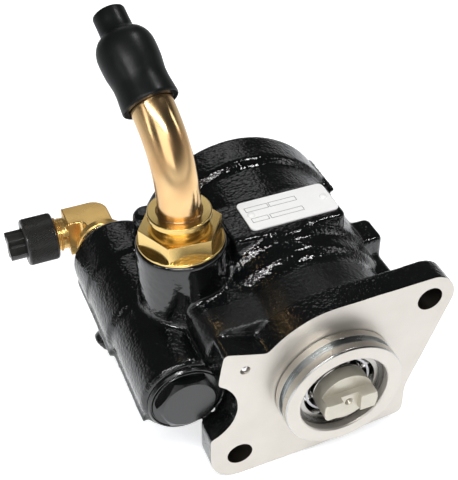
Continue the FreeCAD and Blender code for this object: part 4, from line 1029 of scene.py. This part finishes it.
def studioWorld():
    # White to the camera; what a reflection sees fades from the horizon to a dark ceiling
    world = bpy.data.worlds.new("studio")
    bpy.context.scene.world = world
    world.use_nodes = True
    tree = world.node_tree
    made = Nodes(tree)
    background = next(n for n in tree.nodes if n.type == "BACKGROUND")
    background.inputs["Color"].default_value = (1, 1, 1, 1)
    where = made.add("ShaderNodeTexCoord")
    parts = made.add("ShaderNodeSeparateXYZ")
    made.join(where.outputs["Generated"], parts.inputs[0])
    b = backdrop
    level = made.spread(parts.outputs[1], -0.8, 0.1, b["front"], b["behind"])
    mirrored = made.blend(made.spread(parts.outputs[2], 0.0, b["dimAt"]), level, b["ceiling"])
    path = made.add("ShaderNodeLightPath")
    level = made.blend(path.outputs["Is Glossy Ray"], b["light"], mirrored)
    seen = made.number("MAXIMUM", path.outputs["Is Camera Ray"], path.outputs["Is Transmission Ray"])
    made.join(made.blend(seen, level, 1.0), background.inputs["Strength"])


def studioFloor():
    b = backdrop
    low = cadBox[0].z - b["below"] * mm
    work = bmesh.new()
    place = Matrix.Translation((0, 0, low))
    bmesh.ops.create_grid(work, x_segments=1, y_segments=1, size=b["floorSize"], matrix=place)
    floor = meshFrom(work, "floor")
    material, made, shader = newMaterial("paleFloor", b["floor"], b["floorRough"])
    tree = material.node_tree
    output = next(n for n in tree.nodes if n.type == "OUTPUT_MATERIAL")
    shine = made.add("ShaderNodeEmission")
    both = made.add("ShaderNodeAddShader")
    made.join(shader.outputs[0], both.inputs[0])
    made.join(shine.outputs[0], both.inputs[1])
    made.join(both.outputs[0], output.inputs["Surface"])
    path = made.add("ShaderNodeLightPath")
    where = made.add("ShaderNodeTexCoord")
    away = made.add("ShaderNodeVectorMath", operation="DISTANCE")
    made.join(where.outputs["Object"], away.inputs[0])
    away.inputs[1].default_value = (*b["centre"], low)
    faded = b["shine"] * b["farShare"]
    mirrored = made.spread(away.outputs["Value"], b["near"], b["far"], b["shine"], faded)
    glossy = made.number("MULTIPLY", path.outputs["Is Glossy Ray"], mirrored)
    seen = made.number("MAXIMUM", path.outputs["Is Camera Ray"], path.outputs["Is Transmission Ray"])
    white = made.spread(away.outputs["Value"], b["near"], b["whiteAt"], b["shine"], 1.0)
    made.join(made.number("MAXIMUM", glossy, made.number("MULTIPLY", seen, white)), shine.inputs["Strength"])
    floor.data.materials.append(material)


photoCamera()
studioLamps()
studioWorld()
studioFloor()
bpy.context.scene.view_settings.view_transform = "Standard"
print("studio ready")
